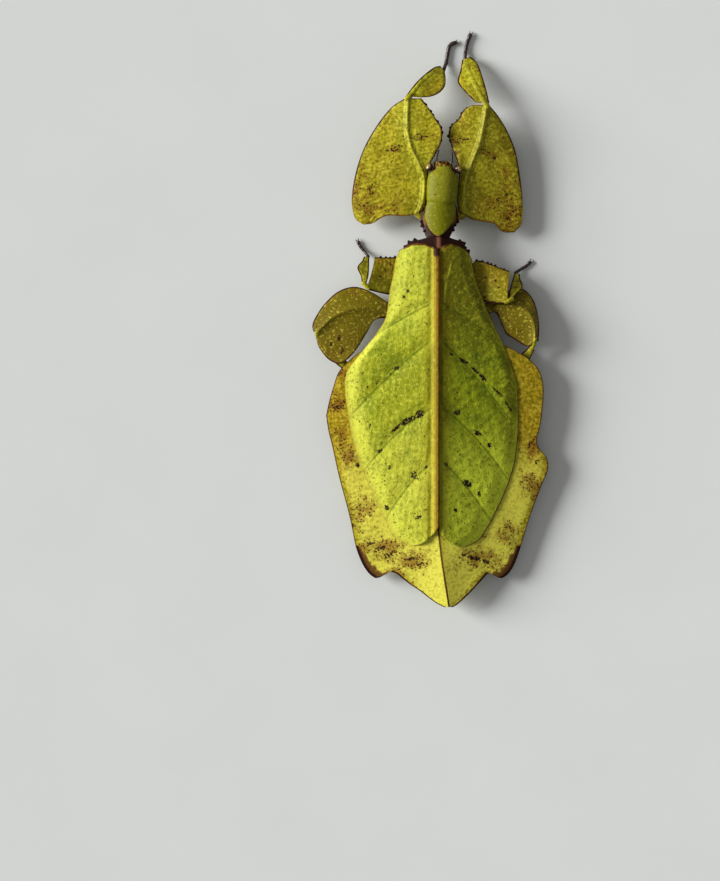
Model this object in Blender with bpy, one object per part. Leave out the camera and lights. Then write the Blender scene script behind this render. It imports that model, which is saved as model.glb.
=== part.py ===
import bisect
import math
import random

import bmesh
import bpy
from mathutils import Vector

# Sizes are in millimetres in the insect's own axes, and MM turns them into metres. +Y runs along the
# body to the head, +X to the insect's right side, +Z up. The floor is at zero height.
MM = 0.001
GAP = 0.3

# The back: height of the ridge line along the body, and how the roof falls away to either side.
CREST = [(24.0, 8.2), (12.0, 8.8), (0.0, 9.0), (-20.0, 8.8), (-40.0, 7.8), (-55.0, 6.6), (-70.0, 5.4)]
ROOF_SLOPE = 0.21
ROOF_EASE = 0.0022
# The belly: height of its lowest line and half width of the thick core of the trunk.
KEEL = [(23.0, 3.6), (12.0, 2.0), (0.0, 1.0), (-12.0, -0.3), (-35.0, -0.3), (-48.0, 1.4), (-60.0, 3.6),
        (-70.0, 4.6)]
CORE = [(23.0, 2.4), (19.0, 4.0), (8.0, 4.6), (0.0, 5.2), (-8.0, 8.0), (-25.0, 8.8), (-40.0, 7.6),
        (-52.0, 5.2), (-62.0, 3.4), (-70.0, 1.0)]
RIM = 0.7
# Shares of the core's half width: where the trunk has columns, where its margin starts, and how full the
# core still is at its edge.
CORE_COLUMNS = (0.2, 0.5, 0.8, 1.0)
CORE_EDGE_STEP = 1.06
CORE_EDGE_FILL = 0.35
# The tail bends to the insect's right behind this place, by this much at its tip.
TAIL_BEND_AT = -46.0
TAIL_TIP = (2.8, -69.2)

# Fore wings: thickness, ridge heights and the overlap of the left one on the right one.
WING_THICK = 0.55
VEIN_HEIGHT = 0.35
VEIN_HALF_WIDTH = 0.55
MIDRIB_HEIGHT = 0.35
OVERLAP_RISE = WING_THICK + GAP

# Leg lobes are thin blades with a round shaft in them.
LOBE_HALF = 0.28

# Teeth on the margins, and the claws of the feet: four-sided spikes sunk into what they stand on.
TOOTH_LENGTH = 0.65
TOOTH_HALF_WIDTH = 0.34
TOOTH_HALF_HEIGHT = 0.2
TOOTH_ROOT = 0.5
TOOTH_SPACING = 1.5
TOOTH_SEED = 7
CLAW_LENGTH = 0.85
CLAW_HALF = 0.2
CLAW_SPREAD = 32.0
CLAW_APART = 0.13

# Where a round form counts as having a crease when it is shaded, in degrees.
CREASE = 50.0
SIDES = (("left", -1), ("right", 1))


def along(table, at):
    """Reads a table of (place, value) pairs, along straight lines between its entries."""
    rising = sorted(table)
    places = [place for place, value in rising]
    at = min(max(at, places[0]), places[-1])
    right = min(max(bisect.bisect_left(places, at), 1), len(rising) - 1)
    (p0, v0), (p1, v1) = rising[right - 1], rising[right]
    share = (at - p0) / (p1 - p0)
    return v0 + (v1 - v0) * share


def axis(y):
    """Sideways place of the body's middle line."""
    reach = min(max((TAIL_BEND_AT - y) / (TAIL_BEND_AT - TAIL_TIP[1]), 0.0), 1.0)
    return TAIL_TIP[0] * reach ** 1.4


def back(x, y):
    """Height of the underside of the wings over the trunk."""
    off = abs(x - axis(y))
    return along(CREST, y) - ROOF_SLOPE * off + ROOF_EASE * off * off


def curve_through(points, count):
    """Gives count places, evenly spaced, on a smooth curve through the points."""
    points = [Vector(p) for p in points]
    ends = [2 * points[0] - points[1]] + points + [2 * points[-1] - points[-2]]
    fine = []
    for a, b, c, d in zip(ends, ends[1:], ends[2:], ends[3:]):
        for step in range(12):
            t = step / 12
            fine.append(0.5 * (2 * b + (c - a) * t + (2 * a - 5 * b + 4 * c - d) * t * t
                               + (3 * b - a - 3 * c + d) * t ** 3))
    fine.append(points[-1])
    lengths = [0.0]
    for one, two in zip(fine, fine[1:]):
        lengths.append(lengths[-1] + (two - one).length)
    found = []
    for index in range(count):
        target = lengths[-1] * index / (count - 1)
        right = min(max(bisect.bisect_left(lengths, target), 1), len(fine) - 1)
        share = (target - lengths[right - 1]) / max(lengths[right] - lengths[right - 1], 1e-9)
        found.append(fine[right - 1].lerp(fine[right], share))
    return found


def paint(obj, colour, roughness):
    """Gives the object a plain material of its own, from a colour written as in a paint program."""
    parts = [int(colour[i:i + 2], 16) / 255 for i in (0, 2, 4)]
    linear = [p / 12.92 if p <= 0.04045 else ((p + 0.055) / 1.055) ** 2.4 for p in parts]
    material = bpy.data.materials.new(obj.name + "_colour")
    material.use_nodes = True
    shader = material.node_tree.nodes["Principled BSDF"]
    shader.inputs["Base Color"].default_value = (*linear, 1.0)
    shader.inputs["Roughness"].default_value = roughness
    shader.inputs["Metallic"].default_value = 0.0
    obj.data.materials.append(material)


def closed_body(name, points, faces):
    """Makes a mesh object from points in millimetres, with its faces turned outwards."""
    volume = 0.0
    for face in faces:
        a, b, c = (Vector(points[index]) for index in face[:3])
        volume += a.dot(b.cross(c))
    if volume < 0:
        faces = [tuple(reversed(face)) for face in faces]
    mesh = bpy.data.meshes.new(name)
    mesh.from_pydata([tuple(Vector(p) * MM) for p in points], [], faces)
    mesh.update()
    mesh.shade_smooth()
    mesh.set_sharp_from_angle(angle=math.radians(CREASE))
    return bpy.data.objects.new(name, mesh)


def solid(name, points, faces, colour, roughness=0.5):
    """Makes one named part of the insect."""
    obj = closed_body(name, points, faces)
    insect.objects.link(obj)
    paint(obj, colour, roughness)
    return obj


def spike(place, ahead, length, half_width, half_height):
    """A closed four-sided spike that starts in what it stands on and ends length beyond its place."""
    ahead = ahead.normalized()
    side = Vector((ahead.y, -ahead.x, 0)).normalized()
    up = side.cross(ahead)
    points = []
    for step, size in ((-TOOTH_ROOT, 1.0), (0.4 * length, 0.6)):
        middle = place + ahead * step
        across, high = side * half_width * size, up * half_height * size
        points += [middle + across, middle + high, middle - across, middle - high]
    points.append(place + ahead * length)
    faces = [(0, 1, 2), (0, 2, 3)]
    for k in range(4):
        following = (k + 1) % 4
        faces += [(k, k + 4, following + 4), (k, following + 4, following), (k + 4, 8, following + 4)]
    return closed_body("spike", points, faces)


def keep_largest(mesh):
    """Leaves only the largest closed surface of the mesh."""
    whole = bmesh.new()
    whole.from_mesh(mesh)
    left = set(whole.faces)
    groups = []
    while left:
        group = {left.pop()}
        front = list(group)
        while front:
            for edge in front.pop().edges:
                fresh = [face for face in edge.link_faces if face in left]
                left.difference_update(fresh)
                group.update(fresh)
                front += fresh
        groups.append(group)
    groups.sort(key=len)
    for group in groups[:-1]:
        bmesh.ops.delete(whole, geom=list(group), context="FACES")
    whole.to_mesh(mesh)
    whole.free()


def fuse(obj, pieces):
    """Joins closed pieces to the object by one union."""
    group = bpy.data.collections.new(obj.name + "_pieces")
    bpy.context.scene.collection.children.link(group)
    for piece in pieces:
        group.objects.link(piece)
    union = obj.modifiers.new("pieces", "BOOLEAN")
    union.operation = "UNION"
    union.operand_type = "COLLECTION"
    union.collection = group
    union.solver = "EXACT"
    graph = bpy.context.evaluated_depsgraph_get()
    whole = bpy.data.meshes.new_from_object(obj.evaluated_get(graph))
    obj.modifiers.clear()
    obj.data = whole
    for piece in pieces:
        bpy.data.objects.remove(piece)
    bpy.data.collections.remove(group)
    keep_largest(whole)
    whole.shade_smooth()
    whole.set_sharp_from_angle(angle=math.radians(CREASE))


def teeth(obj, edge, inside, start=0.0, end=1.0):
    """Sets a row of teeth on a margin between two shares of its edge curve, pointing away from a place
    inside."""
    pieces = []
    length = sum((Vector(b) - Vector(a)).length for a, b in zip(edge, edge[1:])) * (end - start)
    count = max(round(length / TOOTH_SPACING), 1)
    fine = curve_through(edge, 101)
    for k in range(count):
        share = start + (end - start) * (k + 0.5 + varied.uniform(-0.2, 0.2)) / count
        at = round(share * 100)
        along_edge = fine[min(at + 1, 100)] - fine[max(at - 1, 0)]
        out = Vector((along_edge.y, -along_edge.x, 0)).normalized()
        if out.dot(fine[at] - Vector(inside)) < 0:
            out = -out
        size = varied.uniform(0.7, 1.15)
        pieces.append(spike(fine[at], out, TOOTH_LENGTH * size, TOOTH_HALF_WIDTH * size, TOOTH_HALF_HEIGHT))
    fuse(obj, pieces)


def blade(name, tops, bottoms, colour, roughness=0.5):
    """Closes two grids of places, an upper and a lower one, into one thin solid with alike triangles."""
    rows, columns = len(tops), len(tops[0])
    points = [p for row in tops for p in row] + [p for row in bottoms for p in row]
    under = rows * columns
    faces = []
    for i in range(rows - 1):
        for j in range(columns - 1):
            a, b = i * columns + j, i * columns + j + 1
            c, d = b + columns, a + columns
            faces += [(a, b, c), (a, c, d)]
            faces += [(under + a, under + c, under + b), (under + a, under + d, under + c)]
    ring = [j for j in range(columns)] + [i * columns + columns - 1 for i in range(1, rows)]
    ring += [(rows - 1) * columns + j for j in range(columns - 2, -1, -1)]
    ring += [i * columns for i in range(rows - 2, 0, -1)]
    for one, two in zip(ring, ring[1:] + ring[:1]):
        faces += [(two, one, under + one), (two, under + one, under + two)]
    return solid(name, points, faces, colour, roughness)


def tube(name, rings, colour, roughness=0.5):
    """Joins rings of places, each with as many places, into a closed body with fanned ends."""
    sides = len(rings[0])
    points = [p for ring in rings for p in ring]
    faces = []
    for i in range(len(rings) - 1):
        for j in range(sides):
            a, b = i * sides + j, i * sides + (j + 1) % sides
            faces += [(a, b, b + sides), (a, b + sides, a + sides)]
    for ring, start in ((rings[0], 0), (rings[-1], (len(rings) - 1) * sides)):
        centre = sum(ring, Vector()) / sides
        points.append(centre)
        for j in range(sides):
            pair = (start + j, start + (j + 1) % sides)
            faces.append((len(points) - 1, pair[1], pair[0]) if start == 0 else (len(points) - 1, *pair))
    return solid(name, points, faces, colour, roughness)


def rod(name, path, radii, sides, colour, flatten=1.0, roughness=0.5, floor=None):
    """A round rod along a path, with a radius at each place. Its underside is cut flat at the floor, if one
    is given."""
    rings = []
    for index, place in enumerate(path):
        ahead = path[min(index + 1, len(path) - 1)] - path[max(index - 1, 0)]
        side = ahead.cross(Vector((0, 0, 1))).normalized()
        up = side.cross(ahead).normalized()
        ring = []
        for step in range(sides):
            turn = 2 * math.pi * (step + 0.5) / sides
            p = place + radii[index] * (math.cos(turn) * side + flatten * math.sin(turn) * up)
            if floor is not None:
                p.z = max(p.z, floor)
            ring.append(p)
        rings.append(ring)
    return tube(name, rings, colour, roughness)


def trunk(name, rows, height, colour, keel=KEEL, core=CORE, rim=RIM, outer_columns=4):
    """A length of the body: a thick core with thin leaf-like margins. Each row is its middle place and the
    places of its left and right margins; height gives the top."""
    tops, bottoms = [], []
    for middle, left, right in rows:
        middle, left, right = Vector(middle), Vector(left), Vector(right)
        top_row, bottom_row = [], []
        for edge, order in ((left, -1), (right, 1)):
            reach = (edge - middle).length
            half = min(along(core, middle.y), reach * 0.8)
            start = half * CORE_EDGE_STEP
            steps = [share * half for share in CORE_COLUMNS] + [start]
            steps += [start + (reach - start) * (k + 1) / outer_columns for k in range(outer_columns)]
            side_top, side_bottom = [], []
            for step in ([0.0] if order == 1 else []) + steps:
                p = middle.lerp(edge, step / reach)
                top = height(p.x, p.y)
                share = step / half
                fill = max(1 - share ** 2.6, 0.0) ** 0.6 if share < 1 else 0.0
                if step == half:
                    fill = CORE_EDGE_FILL
                depth = max(top - rim - along(keel, middle.y), 0.0) * fill
                side_top.append(Vector((p.x, p.y, top)))
                side_bottom.append(Vector((p.x, p.y, max(top - rim - depth, 0.0))))
            if order == -1:
                side_top.reverse()
                side_bottom.reverse()
            top_row += side_top
            bottom_row += side_bottom
        tops.append(top_row)
        bottoms.append(bottom_row)
    return blade(name, tops, bottoms, colour)


def patch(shaft, edge, base, end, shares, s):
    """Places on a surface stretched between four curves: the shaft, the edge and the two ends."""
    found = []
    for u, start_cross, end_cross in zip(shares, base, end):
        straight = shaft.lerp(edge, u)
        start_fit = start_cross - base[0].lerp(base[-1], u)
        end_fit = end_cross - end[0].lerp(end[-1], u)
        found.append(straight + start_fit * (1 - s) ** 2 + end_fit * s ** 2)
    return found


def spread(width, radius, columns):
    """Shares of the way from a shaft to the edge of its lobe, closer together on the shaft's round."""
    near = [0.0, 0.55 * radius, 0.9 * radius, 1.15 * radius]
    if width < 1.5 * radius:
        return [k / columns for k in range(columns + 1)]
    far = near[-1] / width
    rest = columns - 3
    return [step / width for step in near] + [far + (1 - far) * (k + 1) / rest for k in range(rest)]


def lobed_limb(name, shaft, lobes, radii, stations, colour):
    """A length of a leg: a round shaft with a thin lobe on each side. Each lobe is its edge curve from base
    to end, the curves of its base and its end from the shaft outwards, and its number of columns."""
    line = curve_through(shaft, stations)
    sides = []
    for edge, base, end, columns in lobes:
        edge_line = curve_through(edge, stations)
        side = []
        for index in range(stations):
            s = index / (stations - 1)
            radius = along([(0.0, radii[0]), (0.5, radii[1]), (1.0, radii[2])], s)
            width = (edge_line[index] - line[index]).length
            shares = spread(width, radius, columns)
            base_points = [line[0].lerp(edge_line[0], u) for u in shares]
            end_points = [line[-1].lerp(edge_line[-1], u) for u in shares]
            if base:
                base_points = bent_line(base, shares)
            if end:
                end_points = bent_line(end, shares)
            places = patch(line[index], edge_line[index], base_points, end_points, shares, s)
            side.append((places, radius))
        sides.append(side)
    tops, bottoms = [], []
    for (first, radius), (second, _) in zip(*sides):
        row = list(reversed(first)) + second[1:]
        centre = first[0]
        top_row, bottom_row = [], []
        for p in row:
            off = min((p - centre).length / radius, 1.0)
            half = LOBE_HALF + (radius - LOBE_HALF) * math.sqrt(max(1 - off * off, 0.0))
            top_row.append(p + Vector((0, 0, half)))
            bottom_row.append(p - Vector((0, 0, half)))
        tops.append(top_row)
        bottoms.append(bottom_row)
    return blade(name, tops, bottoms, colour)


def bent_line(points, shares):
    """Places at the given shares of a smooth curve's length."""
    fine = curve_through(points, 41)
    found = []
    for share in shares:
        at = share * 40
        low = min(int(at), 39)
        found.append(fine[low].lerp(fine[low + 1], at - low))
    return found


def mirrored(points, turn, pivot):
    """The places on the other side of the body, swung about a pivot of that side by an angle in degrees."""
    angle = math.radians(turn)
    found = []
    for x, y, z in points:
        dx, dy = -x - pivot[0], y - pivot[1]
        found.append((pivot[0] + dx * math.cos(angle) - dy * math.sin(angle),
                      pivot[1] + dx * math.sin(angle) + dy * math.cos(angle), z))
    return found


for old in list(bpy.data.objects):
    bpy.data.objects.remove(old)
insect = bpy.data.collections.new("leaf_insect")
bpy.context.scene.collection.children.link(insect)
varied = random.Random(TOOTH_SEED)

OLIVE = "8f9a1a"
GREEN = "b7c23c"
SHADE = "7e8c1e"
GOLD = "c9a83a"
LOBE = "b0a52c"
BROWN = "5a2a1a"
DARK = "1e1218"

# Head: rings along its own slightly turned line, each a share of its length and of its full width.
HEAD_REAR = Vector((0.9, 31.45, 6.1))
HEAD_FRONT = Vector((1.6, 42.1, 6.3))
HEAD_HALF_WIDTH = 3.9
HEAD_HALF_HEIGHT = 2.9
HEAD_UNDER = 0.85
HEAD_POWER = 0.78
HEAD_RINGS = [(0.0, 0.62), (0.04, 0.80), (0.12, 0.93), (0.28, 0.99), (0.45, 1.0), (0.60, 0.97),
              (0.69, 0.87), (0.78, 0.71), (0.86, 0.62), (0.93, 0.52), (0.975, 0.36), (1.0, 0.16)]
HEAD_SIDES = 16
head_line = HEAD_FRONT - HEAD_REAR
head_ahead = head_line.normalized()
head_side = Vector((head_line.y, -head_line.x, 0)).normalized()


def head_point(share, size, turn):
    """A place on a ring of the head; the ring is a rounded box, a little flatter below."""
    c, s = math.cos(turn), math.sin(turn)
    wide = HEAD_HALF_WIDTH * size * math.copysign(abs(c) ** HEAD_POWER, c)
    tall = HEAD_HALF_HEIGHT * size * math.copysign(abs(s) ** HEAD_POWER, s)
    if s < 0:
        tall *= HEAD_UNDER
    return HEAD_REAR + head_line * share + head_side * wide + Vector((0, 0, tall))


def under_head(across, share):
    """A place on the underside of the head, across millimetres to the right of its middle line."""
    size = along(HEAD_RINGS, share)
    cosine = min(abs(across) / (HEAD_HALF_WIDTH * size), 1.0) ** (1 / HEAD_POWER)
    return head_point(share, size, -math.acos(math.copysign(cosine, across)))


head_rings = [[head_point(share, size, 2 * math.pi * (k + 0.5) / HEAD_SIDES) for k in range(HEAD_SIDES)]
              for share, size in HEAD_RINGS]
tube("head", head_rings, OLIVE)

# Eyes sit on the front corners of the head: radii out from the head, along it and upwards.
EYE_OUT, EYE_ALONG, EYE_UP = 0.75, 1.15, 1.0
EYE_SHARE = 0.775
EYE_TURN = math.radians(30)
EYE_RISE = 0.6
EYE_RINGS = 8
EYE_SIDES = 12
for word, side in SIDES:
    out = head_side * side * math.cos(EYE_TURN) + head_ahead * math.sin(EYE_TURN)
    across = head_ahead * math.cos(EYE_TURN) - head_side * side * math.sin(EYE_TURN)
    half_head = HEAD_HALF_WIDTH * along(HEAD_RINGS, EYE_SHARE)
    seat = HEAD_REAR + head_line * EYE_SHARE + head_side * side * half_head
    centre = seat + out * (GAP + EYE_OUT * 0.96) + Vector((0, 0, EYE_RISE))
    rings = []
    for k in range(1, EYE_RINGS):
        turn = math.pi * k / EYE_RINGS
        ring = []
        for m in range(EYE_SIDES):
            round_turn = 2 * math.pi * m / EYE_SIDES
            ring.append(centre - out * EYE_OUT * math.cos(turn)
                        + across * EYE_ALONG * math.sin(turn) * math.cos(round_turn)
                        + Vector((0, 0, EYE_UP * math.sin(turn) * math.sin(round_turn))))
        rings.append(ring)
    tube("eye_" + word, rings, "d8c890", 0.25)

# Antennae: nine short beads that point forward from beside the eyes.
ANTENNA_RADIUS = 0.3
ANTENNA_SHARE = 0.95
ANTENNA_BEADS = 9
ANTENNA_TAPER = 0.035
ANTENNA_REACH = {"left": Vector((0.5, 2.9, 0.3)), "right": Vector((0.05, 2.8, 0.2))}
BEAD = (0.8, 1.05, 0.8)
for word, side in SIDES:
    out = (head_side * side * 0.5 + head_ahead * 0.85 + Vector((0, 0, 0.15))).normalized()
    turn = math.radians(90 - side * 66)
    root = head_point(ANTENNA_SHARE, along(HEAD_RINGS, ANTENNA_SHARE), turn) + out * (GAP + 0.03)
    tip = root + out * 0.3 + ANTENNA_REACH[word]
    line = curve_through([root, root + out * 0.5, tip], len(BEAD) * ANTENNA_BEADS)
    radii = []
    for bead in range(ANTENNA_BEADS):
        radii += [ANTENNA_RADIUS * size * (1 - ANTENNA_TAPER * bead) for size in BEAD]
    rod("antenna_" + word, line, radii, 6, DARK)


def mouth_plate(name, across, share, half_wide, half_share, drop, colour):
    """A plate of the mouth that hangs from the underside of the head, with its top along that underside."""
    rings = []
    for depth, size in ((0.0, 0.9), (0.45, 1.0), (0.85, 0.9), (1.0, 0.6)):
        ring = []
        for k in range(MOUTH_SIDES):
            turn = 2 * math.pi * k / MOUTH_SIDES
            beside = across + half_wide * size * math.cos(turn)
            ahead = share + half_share * size * math.sin(turn)
            ring.append(under_head(beside, ahead) - Vector((0, 0, GAP + drop * depth)))
        rings.append(ring)
    tube(name, rings, colour)


# Mouthparts under the front of the head: the upper lip, the jaws behind it and the two feelers beside them.
MOUTH_SIDES = 10
PALP_STEPS = [(0.0, 0.0, 0.0), (0.2, 0.9, -0.5), (0.3, 2.0, -0.7), (0.1, 3.1, -0.6)]
PALP_RADII = [0.34, 0.36, 0.4, 0.28]
mouth_plate("labrum", 0.0, 0.925, 1.1, 0.032, 1.3, OLIVE)
for word, side in SIDES:
    mouth_plate("mandible_" + word, side * 0.7, 0.845, 0.5, 0.033, 1.2, BROWN)
    start = under_head(side * 1.75, 0.72) - Vector((0, 0, GAP + 0.42))
    path = [start + Vector((side * x, y, z)) for x, y, z in PALP_STEPS]
    rod("palp_" + word, path, PALP_RADII, 6, BROWN)

# Fore part of the trunk: a shield that narrows to the rear.
PRO_TOP = 8.9
PRO_FALL = 0.09


def shield(x, y):
    return PRO_TOP - PRO_FALL * (x - 0.55) ** 2


PRO_ROWS = [((0.6, 30.9), (-3.2, 30.9), (4.5, 30.9)), ((0.6, 29.6), (-4.2, 29.6), (5.3, 29.6)),
            ((0.5, 28.0), (-4.6, 28.0), (5.5, 28.0)), ((0.4, 26.6), (-4.2, 26.6), (4.8, 26.6)),
            ((0.3, 25.2), (-3.6, 25.2), (3.9, 25.2)), ((0.3, 24.0), (-2.8, 24.0), (3.1, 24.0)),
            ((0.3, 23.2), (-1.3, 23.2), (1.9, 23.2))]
PRO_KEEL = [(31.0, 2.9), (23.0, 3.4)]
PRO_CORE = [(31.0, 2.9), (26.0, 2.9), (23.2, 2.0)]
PRO_RIM = 0.8
prothorax = trunk("prothorax", PRO_ROWS, shield, OLIVE, PRO_KEEL, PRO_CORE, PRO_RIM, outer_columns=2)


def margin(rows, order, height, rim):
    """The edge of a length of the trunk on one side, halfway up its rim."""
    found = []
    for row in rows:
        x, y = row[1 if order == -1 else 2]
        found.append((x, y, height(x, y) - rim / 2))
    return found


# The prothorax has teeth on its margins behind the fore legs, where it narrows.
for word, side in SIDES:
    teeth(prothorax, margin(PRO_ROWS[3:6], side, shield, PRO_RIM), (0.3, 26.0, 6.0))


def under_wings(x, y):
    return back(x, y) - GAP


MESO_ROWS = [((0.4, 22.9), (-1.4, 22.9), (2.2, 22.9)), ((0.3, 22.3), (-4.6, 22.4), (4.5, 22.4)),
             ((0.2, 21.4), (-7.2, 21.9), (6.5, 21.9)), ((0.1, 20.2), (-7.9, 20.5), (6.9, 20.3)),
             ((0.0, 18.9), (-9.2, 19.1), (7.9, 18.7)), ((0.0, 17.4), (-7.6, 17.4), (7.3, 17.4)),
             ((0.0, 16.0), (-6.0, 16.0), (6.0, 16.0)), ((0.0, 12.0), (-5.6, 12.0), (5.6, 12.0)),
             ((0.0, 8.2), (-5.9, 8.2), (5.9, 8.2))]
mesothorax = trunk("mesothorax", MESO_ROWS, under_wings, BROWN, outer_columns=2)
for word, side in SIDES:
    teeth(mesothorax, margin(MESO_ROWS[1:5], side, under_wings, RIM), (0.0, 17.0, 6.0))
meta_rows = [((0.0, y), (-6.3, y), (6.3, y)) for y in (7.9, 5.0, 2.0, -1.6)]
trunk("metathorax", meta_rows, under_wings, OLIVE, outer_columns=2)

# Abdomen margins from the front, left and right, as the leaf outline runs.
FRONT_LEFT = [(-9.0, -2.2), (-14.5, -3.2), (-19.5, -5.6), (-23.9, -9.4), (-25.3, -12.0), (-27.1, -17.8),
              (-27.8, -21.2)]
FRONT_RIGHT = [(9.0, -2.2), (15.5, -3.4), (20.8, -6.0), (23.6, -7.9), (25.5, -10.2), (26.4, -13.0),
               (26.5, -17.0), (26.1, -21.2)]
REAR_LEFT = [(-27.8, -21.6), (-27.3, -25.0), (-26.1, -30.0), (-24.6, -36.8), (-22.1, -46.2), (-20.5, -54.0)]
REAR_RIGHT = [(26.1, -21.6), (25.6, -24.6), (24.9, -27.5), (25.5, -29.7), (27.2, -31.6), (27.8, -34.0),
              (27.2, -36.4), (25.9, -39.4), (23.4, -46.2), (21.0, -54.0)]
FRONT_ROWS = 9
REAR_ROWS = 12
FRONT_MID = (-1.9, -16.0)
REAR_MID = (-16.4, -46.0)


def abdomen_rows(left, right, middles, count):
    lefts, rights = curve_through(left, count), curve_through(right, count)
    rows = []
    for k in range(count):
        y = middles[0] + (middles[1] - middles[0]) * k / (count - 1)
        rows.append(((axis(y), y), lefts[k], rights[k]))
    return rows


trunk("abdomen_front", abdomen_rows(FRONT_LEFT, FRONT_RIGHT, FRONT_MID, FRONT_ROWS), under_wings, GOLD)
trunk("abdomen_rear", abdomen_rows(REAR_LEFT, REAR_RIGHT, REAR_MID, REAR_ROWS), under_wings, GOLD)
TIP_ROWS = [(-46.4, (-20.4, -54.4), (20.9, -54.4)), (-48.4, (-19.6, -56.7), (20.1, -56.8)),
            (-50.0, (-18.6, -58.9), (19.2, -59.0)), (-51.5, (-17.2, -60.9), (17.9, -61.0)),
            (-52.8, (-15.6, -62.1), (16.3, -62.1)), (-53.8, (-14.1, -61.8), (14.9, -61.8)),
            (-54.8, (-13.2, -60.7), (14.2, -60.9)), (-56.2, (-12.0, -60.5), (13.5, -60.7)),
            (-58.0, (-10.4, -60.9), (12.4, -61.2)), (-60.5, (-8.7, -62.2), (11.0, -62.7)),
            (-63.0, (-6.8, -63.7), (9.6, -64.2)), (-65.2, (-4.6, -65.1), (8.0, -65.9)),
            (-67.0, (-2.4, -66.8), (6.3, -67.5)), (-68.4, (-0.3, -68.3), (4.9, -68.7)),
            (-69.2, (1.7, -69.3), (3.8, -69.3))]
tip_rows = [((axis(y), y), left, right) for y, left, right in TIP_ROWS]
trunk("abdomen_tip", tip_rows, under_wings, GREEN, outer_columns=3)

# Under the tail: the plate that guides the eggs, and the two small leaf-like cerci behind it.
PLATE_FRONT, PLATE_REAR = -54.0, -62.6
PLATE_RADII = [1.1, 1.5, 1.3, 0.5]
CERCUS_FRONT, CERCUS_REAR = -63.4, -66.6
CERCUS_RADII = [0.45, 0.8, 0.75, 0.3]
FLATNESS = 0.4


def under_tail(name, front, rear, radii, side, colour):
    """A flat form along the underside of the tail, a gap below it."""
    path = []
    for k, radius in enumerate(radii):
        y = front + (rear - front) * k / (len(radii) - 1)
        x = axis(y) + side * (0.95 + 0.12 * k)
        path.append(Vector((x, y, along(KEEL, y) - GAP - FLATNESS * max(radii))))
    rod(name, path, radii, 8, colour, flatten=FLATNESS)


under_tail("subgenital_plate", PLATE_FRONT, PLATE_REAR, PLATE_RADII, 0, GREEN)
for word, side in SIDES:
    under_tail("cercus_" + word, CERCUS_FRONT, CERCUS_REAR, CERCUS_RADII, side, GOLD)

# Fore wings: sections of the outer edge between the ends of the side veins, and where each vein leaves the
# rib.
LEFT_EDGE = [[(-8.6, 19.6), (-10.2, 17.6), (-11.1, 13.8), (-11.9, 10.0), (-12.9, 3.2), (-15.4, -1.2)],
             [(-15.4, -1.2), (-18.9, -5.5), (-22.6, -10.5), (-23.1, -15.0), (-22.2, -22.0)],
             [(-22.2, -22.0), (-21.1, -27.5), (-18.7, -35.3)],
             [(-18.7, -35.3), (-16.4, -40.5), (-13.2, -47.2)],
             [(-13.2, -47.2), (-11.0, -51.6), (-6.6, -53.8)]]
RIGHT_EDGE = [[(7.6, 19.2), (8.5, 17.4), (9.1, 13.8), (10.4, 9.8), (13.2, 3.0), (16.4, -3.6)],
              [(16.4, -3.6), (19.6, -12.5), (20.1, -17.2), (20.2, -25.6)],
              [(20.2, -25.6), (19.3, -33.0), (17.9, -38.0)],
              [(17.9, -38.0), (16.3, -42.0), (13.3, -48.2)],
              [(13.3, -48.2), (10.4, -52.4), (6.9, -54.2)]]
VEIN_ROOTS = [19.0, 7.6, -1.2, -18.4, -31.5, -49.0]
VEIN_BOWS = [1.7, 0.2, 1.2, 2.0, 1.6, -1.5]
SECTION_ROWS = 2
WING_COLUMNS = 6
# Columns near the rib, in millimetres from the wing's inner edge, and the flat strip by the outer edge.
LEFT_NEAR = [0.0, 0.4, 0.8, 1.35, 1.9]
RIGHT_NEAR = [0.0, 0.5, 1.5, 2.2]
LEFT_INNER, RIGHT_INNER = 0.35, -0.75
EDGE_STRIP = 0.97
# The left wing's rib lies over the right wing; the right wing's own pale vein shows beside it.
MIDRIB_AT = -0.45
MIDRIB_HALF_WIDTH = 0.8
RISE_FROM, RISE_OVER = -1.6, 0.6
VEINS_FROM = 2.0
RIGHT_RIB = (0.7, 2.0)
RIGHT_RIB_HEIGHT = 0.15


def wing_rows(edges, inner_edge):
    """The rows of a fore wing from the front. Each is an inner place, an outer place, how far it bows
    towards the head, and whether it lies on a side vein."""
    rows = []
    for section, edge in enumerate(edges):
        root_a, root_b = VEIN_ROOTS[section], VEIN_ROOTS[section + 1]
        bow_a, bow_b = VEIN_BOWS[section], VEIN_BOWS[section + 1]
        beside = VEIN_HALF_WIDTH / abs(root_b - root_a)
        start = beside if section else 0.0
        end = 1.0 if section == len(edges) - 1 else 1.0 - beside
        shares = [0.0, beside] if section else [0.0]
        step = (end - start) / (SECTION_ROWS + 1)
        shares += [start + step * (k + 1) for k in range(SECTION_ROWS)] + [end]
        for share, outer in zip(shares, bent_line(edge, shares)):
            inner = Vector((inner_edge, root_a + (root_b - root_a) * share))
            rows.append((inner, outer, bow_a + (bow_b - bow_a) * share, share == 0.0 and section > 0))
    return rows


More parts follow.
